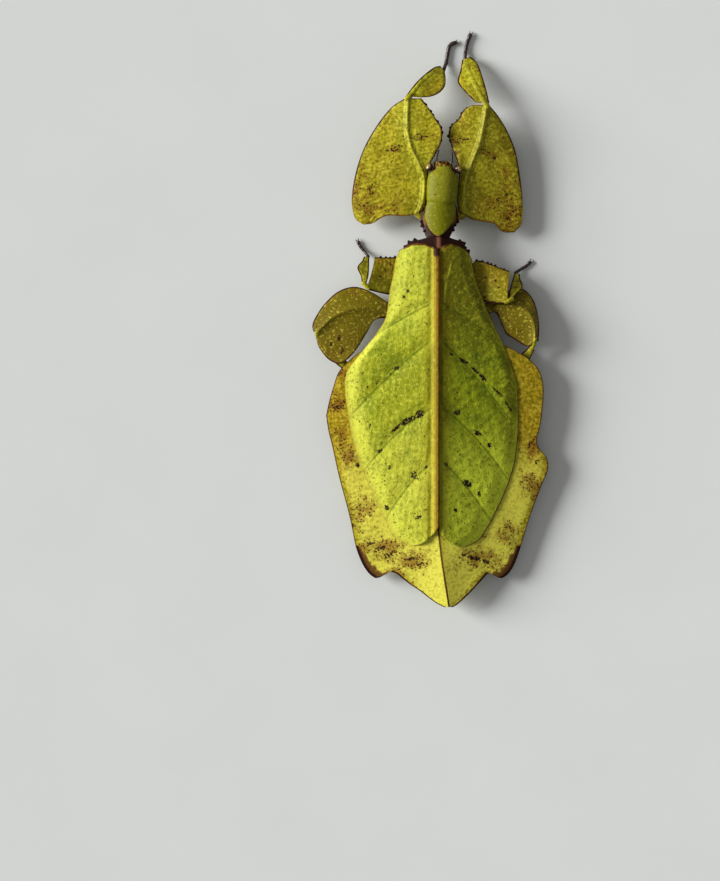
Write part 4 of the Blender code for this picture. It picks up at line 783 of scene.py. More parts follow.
def limb(shaft, lobes, radii, rows, marks=(), rings=(), gold=0.6, ridge=1.0, seed=1, deep=0.0, flecks=(),
         bare=(), crease_height=SMALL_CREASE):
    """One length of a leg. Each lobe is its margin from base to end, and where they aren't straight, the
    lines that it starts and ends on."""
    shares = np.linspace(0, 1, rows)
    line = curve(shaft, shares)
    radius = np.interp(shares, (0, 0.5, 1), radii)[:, None]
    halves = []
    for lobe in lobes:
        edge, base, end = (*lobe, None, None)[:3]
        edge_line = curve(edge, shares)
        width = np.linalg.norm(edge_line - line, axis=1)[:, None]
        near_width = np.minimum(1.15 * radius, 0.5 * width)
        near = near_width * np.sin(np.linspace(0, np.pi / 2, SHAFT_COLUMNS))
        far = near_width + (width - near_width) * (1 - (1 - np.linspace(0, 1, LOBE_COLUMNS)[1:]) ** 1.3)
        step = np.concatenate([near, far], axis=1)
        u = step / width
        place = line[:, None] + (edge_line - line)[:, None] * u[..., None]
        for curve_points, fade, corner in ((base, (1 - shares) ** 2, 0), (end, shares ** 2, -1)):
            if curve_points:
                bent = curve(curve_points, u[corner])
                straight = line[corner] + (edge_line[corner] - line[corner]) * u[corner][:, None]
                place = place + (bent - straight)[None] * fade[:, None, None]
        halves.append((place, step, width - step))
    (first, first_step, first_rim), (second, second_step, second_rim) = halves
    place = np.concatenate([first[:, :0:-1], second], axis=1)
    step = np.concatenate([-first_step[:, :0:-1], second_step], axis=1)
    rim = np.concatenate([first_rim[:, :0:-1], second_rim], axis=1)
    x, y = place[..., 0], place[..., 1]
    off = np.minimum(np.linalg.norm(place - line[:, None], axis=2) / radius, 1.0)
    edge_thin = ease(rim, 0.9, 0.0)
    flat = LOBE_HALF - LOBE_THINNING * edge_thin
    swell = np.sqrt(1 - off * off)
    crest = np.exp(-(step / CREST_HALF) ** 2)
    to_right = 1 if second[..., 0].mean() > first[..., 0].mean() else -1
    groove = np.exp(-((step * to_right - GROOVE_AT) / GROOVE_HALF) ** 2)
    wave = 0.18 * ripple(x, y, 7.0, seed) * (off >= 1) * ease(rim, 0.0, 2.0)
    wave = wave * ease(np.abs(step), radius, 3 * radius)
    # Fine creases fan out from the shaft to the margins, and their troughs are darkened as painted shade.
    along = np.concatenate([[0], np.cumsum(np.linalg.norm(np.diff(line, axis=0), axis=1))])[:, None]
    crease = np.sin(2 * np.pi * along / CREASE_LENGTH + 3.0 * ripple(x, y, 3.0, seed + 70))
    crease = crease * np.clip(0.5 + 0.6 * ripple(x, y, 4.0, seed + 80), 0, 1)
    crease = crease * ease(np.abs(step), 1.5 * radius, 7.0) * ease(rim, 0.1, 1.2)
    crease_shade = np.clip(-crease, 0, 1) ** 2 * np.clip(0.3 + ripple(x, y, 3.0, seed + 90), 0, 1)
    upper = flat + (radius * SHAFT_FLATNESS - LOBE_HALF) * swell + CREST_HEIGHT * ridge * crest
    upper = upper - GROOVE_DEPTH * ridge * groove + wave + crease_height * crease
    lower = flat + (radius - LOBE_HALF) * swell - wave
    top = place + np.stack([0 * x, 0 * x, upper], -1)
    bottom = place - np.stack([0 * x, 0 * x, lower], -1)
    bottom[..., 2] = np.maximum(bottom[..., 2], 0.0)
    end_dark = np.maximum(ease(shares, 0.04, 0.0), ease(shares, 0.97, 1.0))[:, None]
    uneven = 1 + 0.4 * ripple(x, y, 1.8, seed + 50)
    rust = np.maximum(ease(rim, 0.50 * uneven, 0.10) * (1 - 0.85 * marks_at(x, y, bare)), 0.4 * end_dark)
    # Painted shade darkens the groove on the shaft's side away from the light.
    rust = np.maximum(rust, 0.26 * ridge * groove * ease(shares, 0.05, 0.3)[:, None])
    spot = np.maximum(0.75 * marks_at(x, y, marks), 0.55 * marks_at(x, y, rings, hollow=True))
    golden = gold * ease(np.abs(step), 0.8, 5.0)
    # The crest is painted pale: a painted highlight.
    return closed_sheet(top, bottom, rim=rim, gold=golden, rust=rust, pale=0.45 * ridge * crest, spot=spot,
                        deep=deep, vein=crease_shade * crease_height / FEMUR_CREASE,
                        fleck=marks_at(x, y, flecks) + 0.3 * ease(rim, 3.0, 0.8))


def teeth(edge, inside, start, end, seed, spacing=0.95, length=0.62, half_wide=0.3):
    """Thorns along a margin, between two shares of its curve, that point away from a place inside."""
    draw = random.Random(seed)
    edge = np.array(edge, float)
    size = np.linalg.norm(np.diff(edge, axis=0), axis=1).sum() * (end - start)
    count = max(round(size / spacing), 1)
    found = []
    for k in range(count):
        share = start + (end - start) * (k + 0.5 + draw.uniform(-0.25, 0.25)) / count
        one, place, two = curve(edge, [max(share - 0.01, 0), share, min(share + 0.01, 1)])
        out = np.array([two[1] - one[1], one[0] - two[0], 0.0])
        if out[:2] @ (place[:2] - np.array(inside[:2])) < 0:
            out = -out
        grow = draw.uniform(0.55, 1.3)
        out[:2] += draw.uniform(-0.35, 0.35) * (two - one)[:2]
        found.append(thorn(place, out, length * grow, half_wide * grow, 0.17, rust=1.0, rim=0.1, gold=0.6))
    return found


def mirrored(points, turn, pivot):
    """The places on the other side of the body, swung about a pivot of that side by an angle in degrees."""
    c, s = math.cos(math.radians(turn)), math.sin(math.radians(turn))
    found = []
    for x, y, *rest in points:
        dx, dy = -x - pivot[0], y - pivot[1]
        found.append((pivot[0] + dx * c - dy * s, pivot[1] + dx * s + dy * c, *rest))
    return found


# Each leg's curves: the shaft of its thigh, the margins of the thigh's lobes, the line that a lobe starts
# or ends on where that is not straight, the shin with its own lobes, and the foot. Marks are as marks_at
# takes them. Flecks are where brown dots crowd, and bare is where the margin has no red line.
FORE_LEGS = {
    "left": {
        "shaft": [(-4.9, 29.3, 4.5), (-3.7, 32.0, 4.7), (-3.3, 37.3, 5.0), (-4.7, 41.4, 5.5),
                  (-6.6, 45.3, 5.9), (-7.6, 50.0, 6.2), (-7.5, 57.7, 6.4)],
        "outer": [(-18.4, 26.5, 3.4), (-20.3, 27.7, 3.4), (-21.2, 30.0, 3.4), (-21.4, 33.8, 3.5),
                  (-20.4, 39.6, 3.8), (-18.4, 45.5, 4.2), (-15.1, 51.2, 4.8), (-11.6, 55.5, 5.4),
                  (-8.3, 57.7, 6.1)],
        "base": [(-4.9, 29.3, 4.5), (-7.9, 28.5, 4.6), (-12.2, 28.7, 4.4), (-14.4, 27.9, 4.1),
                 (-16.2, 26.8, 3.8), (-18.4, 26.5, 3.4)],
        "inner": [(-3.6, 29.6, 4.4), (-2.9, 31.2, 4.4), (-2.7, 33.0, 4.5), (-2.4, 38.0, 4.9),
                  (-2.2, 40.8, 5.6), (-0.4, 44.0, 6.3), (0.9, 46.8, 6.7), (1.1, 50.0, 6.9),
                  (-0.4, 52.5, 6.8), (-1.9, 54.8, 6.6), (-4.0, 57.7, 6.3)],
        "flecks": [(-17.0, 31.5, 4.6, 6.0, 0), (-13.0, 31.0, 5.0, 3.4, 0), (-18.5, 38.5, 2.0, 4.0, 15),
                   (-11.0, 45.0, 3.0, 1.5, 10), (-4.0, 48.0, 4.0, 1.4, 0)],
        "bare": [(-20.0, 29.0, 4.0, 7.0, 0)],
        "rings": [(-10.6, 45.5, 1.1, 0.8, 10), (-4.9, 48.0, 0.9, 0.8, 0), (-15.6, 36.2, 0.9, 0.6, 0)],
        "streaks": [(-12.4, 44.9, 0.9, 0.3, 20), (-8.6, 45.9, 0.8, 0.22, 10), (-2.7, 48.2, 1.0, 0.18, 10),
                    (-6.7, 47.8, 0.6, 0.2, -10), (-17.0, 35.3, 0.9, 0.3, 30), (-16.6, 29.8, 0.5, 0.3, 0),
                    (-18.4, 31.0, 0.4, 0.3, 0)],
        "shin": [(-7.0, 58.2, 6.3), (-4.8, 61.4, 5.1), (-2.0, 64.1, 3.4), (1.3, 65.9, 1.8)],
        "shin_outer": [(-7.9, 58.4, 6.2), (-5.3, 61.9, 5.0), (-2.6, 64.6, 3.5), (-0.6, 66.1, 2.6),
                       (0.8, 66.5, 2.0)],
        "shin_inner": [(-4.0, 58.0, 6.0), (-1.6, 58.3, 5.6), (0.6, 59.4, 4.9), (1.9, 61.2, 3.9),
                       (2.1, 63.4, 2.7), (1.9, 65.1, 2.0)],
        "foot": [(1.9, 66.3, 1.1), (2.3, 67.5, 0.6), (2.7, 69.9, 0.45), (3.3, 71.9, 0.45),
                 (4.9, 72.7, 0.45)],
        "tooth_length": 0.26, "deep": 0.0,
    },
    "right": {
        "shaft": [(6.6, 28.9, 4.5), (6.5, 32.0, 4.7), (6.8, 37.0, 5.0), (8.4, 41.5, 5.5),
                  (10.4, 46.5, 6.0), (11.6, 52.0, 6.3), (12.2, 56.0, 6.4)],
        "outer": [(19.4, 24.6, 3.4), (21.2, 27.0, 3.4), (21.4, 31.8, 3.5), (20.8, 37.8, 3.8),
                  (19.6, 44.5, 4.2), (17.6, 49.5, 4.8), (15.1, 53.5, 5.4), (12.9, 56.0, 6.1)],
        "base": [(6.6, 28.9, 4.5), (8.6, 27.7, 4.6), (11.1, 27.2, 4.4), (14.1, 26.7, 4.1),
                 (15.6, 25.1, 3.8), (17.2, 24.5, 3.6), (19.4, 24.6, 3.4)],
        "inner": [(5.1, 29.4, 4.4), (5.0, 33.0, 4.4), (5.3, 37.5, 4.8), (5.3, 41.0, 5.2), (3.7, 45.3, 5.0),
                  (2.8, 48.4, 5.0), (3.2, 50.8, 5.1), (5.1, 52.6, 5.3), (6.5, 54.9, 5.6), (8.8, 56.1, 6.0)],
        "flecks": [(16.5, 30.0, 4.4, 5.6, 0), (12.5, 30.5, 3.6, 3.4, 0), (17.4, 37.0, 2.0, 5.0, 0),
                   (13.6, 43.6, 3.4, 1.6, -30), (5.5, 47.3, 3.4, 1.4, 0)],
        "bare": [(20.5, 29.0, 3.0, 5.0, 0)],
        "rings": [(5.6, 47.2, 0.7, 0.6, 0), (15.6, 32.3, 0.9, 0.6, -40)],
        "streaks": [(7.4, 47.6, 1.3, 0.25, 5), (4.0, 47.4, 0.8, 0.2, -10), (12.3, 44.6, 1.3, 0.35, -25),
                    (14.2, 42.9, 0.5, 0.6, 0), (17.1, 34.0, 0.5, 1.0, 20), (15.4, 38.0, 0.4, 0.3, 0),
                    (17.6, 28.0, 0.7, 0.4, 20)],
        "shin": [(11.8, 56.6, 6.3), (9.8, 60.6, 5.1), (7.9, 64.8, 3.2), (7.2, 68.3, 1.7)],
        "shin_outer": [(12.9, 56.6, 6.2), (12.2, 60.0, 5.2), (11.3, 63.5, 3.9), (10.5, 66.1, 2.8),
                       (9.4, 68.0, 2.1), (8.2, 68.9, 1.8)],
        "shin_inner": [(9.4, 56.8, 6.0), (7.2, 59.2, 5.3), (5.3, 61.6, 4.3), (5.2, 63.2, 3.6),
                       (5.8, 65.2, 2.6), (6.3, 68.1, 1.8)],
        "foot": [(7.1, 69.0, 1.1), (7.2, 70.4, 0.6), (7.5, 72.2, 0.45), (8.0, 73.6, 0.45),
                 (8.5, 74.8, 0.45)],
        # The right thigh is darkened with the shade tone: painted shade on the side away from the light.
        "tooth_length": 0.46, "deep": 0.26,
    },
}
# Radii of the thighs and shins at the base, the middle and the end, and those of the knees and feet.
FEMUR_RADII = {"fore": (1.1, 1.0, 0.9), "mid": (1.0, 0.95, 0.85), "hind": (1.0, 1.0, 0.85)}
SHIN_RADII = {"fore": (0.8, 0.7, 0.6), "mid": (0.65, 0.55, 0.5), "hind": (0.6, 0.55, 0.5)}
KNEE_RADII = {"fore": 0.75, "mid": 0.6, "hind": 0.6}
FOOT_RADII = {"fore": 0.55, "mid": 0.45, "hind": 0.45}

# The right middle leg. The left one is its mirror image, swung back about the hip.
MID_LEG = {
    "shaft": [(7.0, 9.6, 4.2), (9.0, 9.0, 4.7), (12.0, 8.3, 5.4), (17.3, 7.0, 7.0)],
    "front": [(8.6, 15.6, 4.9), (9.6, 17.4, 4.9), (12.6, 16.7, 5.3), (15.8, 15.4, 5.6), (18.0, 14.7, 5.7)],
    "front_base": [(7.0, 9.6, 4.2), (7.6, 12.8, 4.6), (8.6, 15.6, 4.9)],
    "front_end": [(17.3, 7.0, 7.0), (17.5, 10.5, 6.4), (18.0, 14.7, 5.7)],
    "rear": [(7.0, 8.5, 4.3), (9.5, 7.5, 4.9), (13.0, 6.8, 6.0), (17.0, 6.3, 6.9)],
    "shin": [(18.2, 7.4, 6.9), (18.8, 10.0, 4.9), (20.1, 14.3, 1.7)],
    "shin_outer": [(18.8, 7.1, 6.8), (19.7, 9.0, 5.7), (21.3, 10.8, 4.7), (20.8, 13.0, 2.9),
                   (20.8, 14.2, 1.7)],
    "shin_inner": [(17.8, 7.9, 6.8), (18.1, 10.3, 4.9), (19.5, 14.6, 1.7)],
    "foot": [(20.4, 15.0, 1.1), (21.3, 15.6, 0.6), (22.6, 16.4, 0.45), (23.6, 17.4, 0.45)],
    "marks": [(12.0, 13.0, 0.4, 0.4, 0), (14.4, 12.4, 0.3, 0.7, 30), (15.2, 10.6, 0.35, 0.35, 0),
              (10.6, 12.0, 0.3, 0.3, 0)],
}
LEFT_MID_HIP = (-7.0, 9.6)
LEFT_MID_TURN = -20.0
MID_LEGS = {"left": {part: mirrored(places, LEFT_MID_TURN, LEFT_MID_HIP) for part, places in MID_LEG.items()},
            "right": MID_LEG}

HIND_LEGS = {
    "left": {
        "shaft": [(-7.4, 2.6, 3.9), (-11.0, 4.4, 4.5), (-16.0, 5.6, 5.1), (-21.5, 5.2, 5.6),
                  (-26.0, 3.2, 5.8), (-28.9, 0.6, 5.8), (-30.1, -1.0, 5.6)],
        "front": [(-7.8, 4.0, 3.8), (-12.5, 7.0, 4.4), (-17.0, 9.8, 3.9), (-21.0, 10.9, 3.4),
                  (-25.0, 9.6, 3.6), (-28.4, 6.4, 4.2), (-30.6, 3.0, 4.9), (-31.3, 1.0, 5.3),
                  (-31.0, -0.4, 5.4)],
        "rear": [(-7.6, 1.4, 3.8), (-11.5, 2.8, 4.4), (-15.5, 2.6, 4.9), (-17.6, -0.6, 5.3),
                 (-19.8, -4.2, 5.6), (-22.0, -6.9, 5.6), (-24.4, -8.4, 5.3), (-27.2, -7.4, 5.0),
                 (-29.6, -4.4, 5.0), (-30.3, -2.0, 5.3)],
        "shin": [(-29.4, -3.0, 3.9), (-25.5, -6.6, 3.0), (-19.8, -12.0, 1.5)],
        "foot": [(-19.2, -12.6, 1.0), (-18.2, -13.7, 0.6), (-16.6, -15.5, 0.45), (-15.4, -17.2, 0.45)],
        "marks": [(-24.6, -2.0, 0.9, 0.5, 80), (-23.8, -5.0, 1.2, 0.4, 70), (-26.6, -3.6, 0.4, 0.6, 0),
                  (-20.4, 2.0, 0.4, 0.4, 0)],
    },
    "right": {
        "shaft": [(7.4, 2.6, 3.8), (10.5, 4.4, 4.2), (14.4, 5.8, 4.6), (18.9, 6.1, 5.2), (22.6, 4.4, 5.8),
                  (24.2, 1.0, 5.8), (24.3, -2.6, 5.6)],
        "front": [(7.8, 4.0, 3.8), (12.5, 7.0, 4.4), (16.4, 9.2, 3.9), (19.6, 10.5, 3.2),
                  (22.0, 10.1, 3.3), (24.1, 7.4, 4.1), (25.1, 3.8, 4.9), (25.4, 0.4, 5.3),
                  (25.2, -2.9, 5.4)],
        "rear": [(7.6, 1.4, 3.8), (11.0, 3.0, 4.4), (14.4, 4.4, 4.9), (16.2, 1.0, 4.9), (17.2, -1.0, 4.8),
                 (19.4, -2.4, 4.7), (21.8, -3.9, 4.8), (23.2, -4.0, 5.2)],
        "shin": [(23.7, -4.5, 4.3), (21.3, -7.6, 3.2), (17.0, -13.2, 1.5)],
        "foot": [(16.6, -13.9, 1.0), (15.9, -15.2, 0.6), (14.9, -17.4, 0.45), (14.2, -19.4, 0.45)],
        "marks": [(21.6, 1.4, 0.4, 0.4, 0), (20.6, -0.2, 0.8, 0.25, 20), (19.6, 8.0, 0.3, 0.3, 0),
                  (17.8, 2.2, 0.3, 0.3, 0)],
    },
}
HIND_SHIN_HALVES = (0.8, 1.28, 0.64)

# Each hip as its inner and outer end, its radius and how red it is.
HIPS = [((-3.5, 28.0, 4.4), (-4.75, 28.8, 4.5), 0.9, 0.3), ((4.4, 27.8, 4.4), (5.9, 28.4, 4.5), 0.9, 0.3)]
HIPS += [((side * 5.2, 9.7, 4.1), (side * 6.5, 9.6, 4.2), 1.1, 0.75) for _, side in SIDES]
HIPS += [((side * 5.6, 2.2, 3.8), (side * 7.1, 2.5, 3.9), 1.1, 0.75) for _, side in SIDES]
HIP_REACH = (-2.2, 1.6)

# How thick a foot is along its length, and its claws.
FOOT_BEADS = (0.75, 1.0, 0.75, 1.0, 0.75, 1.0, 0.8, 1.05, 0.8, 1.15, 0.8)
FOOT_STEPS, CLAW_STEPS = 61, 9
CLAW_TURN = math.radians(32)
CLAW_LENGTH, CLAW_RADIUS = 0.8, 0.2


def foot(path, radius):
    """Pieces of a five-jointed foot that lies on the floor, with a pad and a pair of claws at its tip."""
    path = np.array(path)
    root = 2 * path[0] - path[1]
    root[2] = path[0, 2] + 0.15
    shares = np.linspace(0, 1, FOOT_STEPS)
    line = curve(np.vstack([root, path]), shares)
    beads = np.interp(shares, np.linspace(0, 1, len(FOOT_BEADS)), FOOT_BEADS)
    joints = 1 - 0.12 * np.abs(np.sin(shares * np.pi * 5)) ** 8
    pieces = [rod(line, radius * beads * joints, 18, floor=0.0)]
    ahead = line[-1] - line[-4]
    ahead[2] = 0.0
    ahead /= np.linalg.norm(ahead)
    beside = np.array([-ahead[1], ahead[0], 0.0])
    for side in (-1, 1):
        out = ahead * math.cos(CLAW_TURN) + beside * side * math.sin(CLAW_TURN)
        claw = [line[-1] - out * 0.3 + beside * side * 0.1,
                line[-1] + out * 0.35 + beside * side * 0.16 + UP * 0.06,
                line[-1] + out * CLAW_LENGTH + beside * side * 0.02 - UP * 0.25]
        claw = curve(claw, np.linspace(0, 1, CLAW_STEPS))
        pieces.append(rod(claw, CLAW_RADIUS * np.linspace(1, 0.12, CLAW_STEPS) ** 0.8, 10, floor=0.0))
    return pieces


# How far a knee runs into both lengths, and how blunt its ends are.
KNEE_INTO = 0.8
KNEE_STEPS = 9
KNEE_BLUNTNESS = 0.5


def knee(start, end, radius):
    """The joint between two lengths of a leg, which runs a little way into both."""
    start, end = np.array(start, float), np.array(end, float)
    reach = end - start
    ahead = reach / np.linalg.norm(reach)
    shares = np.linspace(0, 1, KNEE_STEPS)
    line = [start - ahead * KNEE_INTO + (reach + 2 * ahead * KNEE_INTO) * t for t in shares]
    round_off = np.sin(np.linspace(KNEE_BLUNTNESS, np.pi - KNEE_BLUNTNESS, KNEE_STEPS)) ** 0.5
    return rod(line, radius * round_off, 20, rust=0.15, rim=1.0)


# Materials

# A leaf insect's shell is dull with fine wax, so it reflects less than bare glassy shell would. Its IOR is
# a little below the 1.56 of dry chitin.
WAX_GLOSS, BARE_GLOSS = 0.12, 0.5
SHELL_IOR = 1.5


def linear(hex_colour):
    """Turns a colour written as in a paint program into the linear one that the shaders use."""
    parts = [int(hex_colour[i:i + 2], 16) / 255 for i in (0, 2, 4)]
    return tuple(p / 12.92 if p <= 0.04045 else ((p + 0.055) / 1.055) ** 2.4 for p in parts) + (1.0,)


def add(tree, kind, inputs, output=0, **settings):
    """Adds a node with its settings, and returns one of its outputs. Each input gets a value, a link, or by
    its name a mask on the mesh."""
    node = tree.nodes.new(kind)
    for name, value in settings.items():
        setattr(node, name, value)
    for socket, value in inputs:
        if isinstance(value, str):
            value = add(tree, "ShaderNodeAttribute", (), "Fac", attribute_name=value)
        if isinstance(value, bpy.types.NodeSocket):
            tree.links.new(value, node.inputs[socket])
        else:
            node.inputs[socket].default_value = value
    return node.outputs[output]


def shader(name, roughness, gloss, *patterns):
    """A material, its nodes, the place on the surface in millimetres, and its soft patterns. Each of those
    is given as its size in millimetres, its detail and its roughness."""
    material = bpy.data.materials.new(name)
    material.use_nodes = True
    tree = material.node_tree
    surface = tree.nodes["Principled BSDF"]
    surface.inputs["Roughness"].default_value = roughness
    surface.inputs["IOR"].default_value = SHELL_IOR
    surface.inputs["Specular IOR Level"].default_value = gloss
    place = add(tree, "ShaderNodeTexCoord", (), "Object")
    place = add(tree, "ShaderNodeVectorMath", [(0, place), ("Scale", 1 / MM)], operation="SCALE")
    soft = []
    for size, detail, rough in patterns:
        inputs = [("Vector", place), ("Scale", 1 / size), ("Detail", detail), ("Roughness", rough)]
        soft.append(add(tree, "ShaderNodeTexNoise", inputs))
    return material, tree, place, soft


def share_of(tree, *parts):
    """The product of its parts. Each is a number, a pattern or a mask's name, or one of these with the
    values where it starts to count and where it counts in full."""
    product = None
    for part in parts:
        if isinstance(part, tuple):
            value, start, full = part
            inputs = [("Value", value), ("From Min", start), ("From Max", full)]
            part = add(tree, "ShaderNodeMapRange", inputs, interpolation_type="SMOOTHSTEP")
        if product is None:
            product = part
        else:
            product = add(tree, "ShaderNodeMath", [(0, product), (1, part)], operation="MULTIPLY")
    return product


def coats(tree, tones, first, layers):
    """The first tone with the others laid over it in turn, each by the share that its parts give."""
    colour = linear(tones[first])
    for tone, *parts in layers:
        inputs = [(0, share_of(tree, *parts)), (6, colour), (7, linear(tones[tone]))]
        colour = add(tree, "ShaderNodeMix", inputs, 2, data_type="RGBA")
    return colour


def finished(material, colour, *reliefs):
    """The material with its colour and relief. A relief is a pattern, its depth in millimetres and its
    strength."""
    tree = material.node_tree
    surface = tree.nodes["Principled BSDF"]
    tree.links.new(colour, surface.inputs["Base Color"])
    under = []
    for height, depth, strength in reliefs:
        inputs = [("Height", height), ("Distance", depth * MM), ("Strength", strength)]
        normal = add(tree, "ShaderNodeBump", inputs + under)
        under = [("Normal", normal)]
        tree.links.new(normal, surface.inputs["Normal"])
    return material


def cuticle(name, tones):
    """Insect cuticle: a dull waxy shell. It has cloudy mottling a few millimetres wide, brown dots of about
    half a millimetre in crowds and dark red-brown margins. The legs' crests carry a painted highlight, and
    their grooves, creases and the thighs where the deep mask is set carry painted shade. All but the fine
    patterns come from the masks on the mesh."""
    material, tree, place, soft = shader(name, 0.5, WAX_GLOSS, (4.5, 4.0, 0.55), (0.75, 3.0, 0.65),
                                         (0.35, 2.0, 0.6), (2.4, 4.0, 0.7), (0.55, 3.0, 0.7))
    cloud, mottle, grain, ragged, torn = soft
    # The mottling is faint where the skin is smooth or pale.
    rough = add(tree, "ShaderNodeMath", [(0, "smooth"), (1, -0.65), (2, 1.0)], operation="MULTIPLY_ADD")
    drab = add(tree, "ShaderNodeMath", [(0, "pale"), (1, -0.6), (2, 1.0)], operation="MULTIPLY_ADD")
    warp = add(tree, "ShaderNodeTexNoise", [("Vector", place), ("Scale", 1 / 0.8)], "Color")
    bent = add(tree, "ShaderNodeVectorMath", [(0, warp), (1, (0.5, 0.5, 0.5)), (2, place)],
               operation="MULTIPLY_ADD")
    dots = add(tree, "ShaderNodeTexVoronoi", [("Vector", bent), ("Scale", 1 / 0.65)])
    crowd = add(tree, "ShaderNodeMath", [(0, ragged), (1, 1.5), (2, share_of(tree, 0.30, "fleck"))],
                operation="MULTIPLY_ADD")
    # The rust mask also brings the legs' painted groove shade into the rim tones.
    rim_and_groove_shade = add(tree, "ShaderNodeMath", [(0, grain), (1, 0.30), (2, "rust")], operation="MULTIPLY_ADD")
    colour = coats(tree, tones, "base", [
        ("deep", 0.55, (cloud, 0.40, 0.64)),
        ("head", "smooth"),
        ("gold", 0.9, "gold"),
        ("pale", 0.85, "pale"),
        ("shade", "deep"),
        ("deep", 0.85, (mottle, 0.49, 0.61), rough, drab),
        ("light", 0.55, (mottle, 0.47, 0.35), rough, drab),
        # On the legs the vein mask marks the troughs of the creases, which get painted shade. The next layer
        # is brown staining.
        ("stain_and_crease_shade", 0.80, "vein"),
        ("stain_and_crease_shade", 0.75, (crowd, 0.84, 1.30)),
        ("fleck", 0.95, (dots, 0.46, 0.26), (crowd, 0.87, 1.07)),
        ("spot", (share_of(tree, "spot", (torn, 0.30, 0.62)), 0.14, 0.42)),
        ("rim", 0.85, (rim_and_groove_shade, 0.30, 0.60)),
        ("dark_rim", (rim_and_groove_shade, 0.66, 1.0)),
        ("stalk", "warm")])
    # Fine pitting of 0.35 mm over soft dents of about a millimetre.
    return finished(material, colour, (grain, 0.05, 0.5), (mottle, 0.14, 0.7))


def wing_leather(name, tones):
    """Leathery fore wing: thinner and brighter than the shell, with a net of fine veins about 1.6 mm apart
    between the ribs, green clouds, small dark dots and torn brown spots."""
    material, tree, place, soft = shader(name, 0.55, WAX_GLOSS, (6.5, 4.0, 0.6), (0.9, 3.0, 0.65),
                                         (0.3, 2.0, 0.6), (4.0, 3.0, 0.6), (0.55, 3.0, 0.7))
    cloud, mottle, grain, chance, torn = soft
    warp = add(tree, "ShaderNodeTexNoise", [("Vector", place), ("Scale", 1 / 2.5)], "Color")
    bent = add(tree, "ShaderNodeVectorMath", [(0, place), (1, warp)], operation="ADD")
    gaps = add(tree, "ShaderNodeTexVoronoi", [("Vector", bent), ("Scale", 1 / 1.6)],
               feature="DISTANCE_TO_EDGE")
    net = share_of(tree, (gaps, 0.10, 0.0))
    dots = add(tree, "ShaderNodeTexVoronoi", [("Vector", place), ("Scale", 1 / 1.4)])
    colour = coats(tree, tones, "base", [
        ("deep", (cloud, 0.42, 0.68)),
        ("shade", "deep"),
        ("pale", "pale"),
        ("deep", 0.70, (mottle, 0.50, 0.66)),
        ("light", 0.65, (mottle, 0.47, 0.34)),
        ("light", 0.20, net),
        ("gold", "gold"),
        ("vein", 0.75, "vein"),
        ("edge", 0.45, ("rim", 1.6, 0.2)),
        ("dot", 0.90, (dots, 0.19, 0.11), (chance, 0.48, 0.58)),
        ("spot", (share_of(tree, "spot", (torn, 0.30, 0.62)), 0.10, 0.34)),
        ("orange", "warm"),
        # The rust mask also carries painted shade along the middle, where the left wing lies over the right.
        ("rust", ("rust", 0.20, 0.55)),
        ("dark_rust_and_shadow", ("rust", 0.60, 0.92))])
    raised = add(tree, "ShaderNodeMath", [(0, net), (1, 0.8), (2, grain)], operation="MULTIPLY_ADD")
    return finished(material, colour, (raised, 0.07, 0.6), (mottle, 0.15, 0.8))


def horn(name, tones, roughness):
    """Hard dark cuticle of feet, feelers and jaws: nearly black brown, with a dull shine and a pale first
    bead on the feelers."""
    material, tree, _, soft = shader(name, roughness, BARE_GLOSS, (0.5, 3.0, 0.55), (0.2, 2.0, 0.55))
    streaks, pits = soft
    colour = coats(tree, tones, "base", [("streak", (streaks, 0.42, 0.62)), ("pale", "pale")])
    return finished(material, colour, (pits, 0.04, 0.5))


def eye_glass(name, tones):
    """Compound eye: a glossy cream dome with a darker ring. Its facets of 0.08 mm are drawn at 0.15 mm, so
    that they show."""
    material, tree, place, (stripes,) = shader(name, 0.18, BARE_GLOSS, (0.7, 2.0, 0.55))
    colour = coats(tree, tones, "cream", [
        ("stripe", 0.45, (stripes, 0.45, 0.60)),
        ("ring", ("rim", 0.86, 0.68))])
    facets = add(tree, "ShaderNodeTexVoronoi", [("Vector", place), ("Scale", 1 / 0.15)])
    return finished(material, colour, (facets, 0.02, 0.4))


def card(name, tones):
    """Matt pale card under the insect, a little uneven in tone."""
    material, tree, _, (cloud,) = shader(name, 0.85, BARE_GLOSS, (30.0, 3.0, 0.55))
    return finished(material, coats(tree, tones, "base", [("light", cloud)]))


# shade is a painted shade tone, laid by the deep mask over the right fore thigh and the middle and hind
# thighs.
SKIN_TONES = {"base": "a6a01c", "deep": "706c08", "light": "c8c042", "gold": "b08a14", "pale": "dfd852",
              "shade": "5c4806", "head": "6c6c04", "fleck": "40200a", "stain_and_crease_shade": "7a4c10", "spot": "2a120a",
              "rim": "5c2810", "dark_rim": "230a03", "stalk": "8a5448"}
# The fore wings are one leather in a lit and a shaded copy. The left wing's brighter tones, its light edge
# included, are painted light, and the right wing's darker tones are painted shade. The left wing faces the
# light and the right wing faces away from it. In both, shade is a painted shade tone that the deep mask lays.
LEFT_LIT_TONES = {"base": "9aa01a", "deep": "66780a", "light": "c2c63e", "gold": "8a740f", "pale": "ccca44",
              "shade": "7c7a0c", "vein": "56640a", "edge": "c0b440", "dot": "2c2c08", "spot": "200e08",
              "orange": "9c5c12", "rust": "5e3a0c", "dark_rust_and_shadow": "2c1808"}
RIGHT_SHADED_TONES = {"base": "859010", "deep": "56660a", "light": "a4ac2a", "gold": "86700e", "pale": "b8c430",
               "shade": "625808", "vein": "435208", "edge": "74721e", "dot": "2c2a08", "spot": "200e08",
               "orange": "8a4a12", "rust": "5a380c", "dark_rust_and_shadow": "2a1608"}
FOOT_TONES = {"base": "241612", "streak": "3a2620", "pale": "8c7a4a"}
JAW_TONES = {"base": "5a2a1a", "streak": "7a4526", "pale": "8c7a4a"}
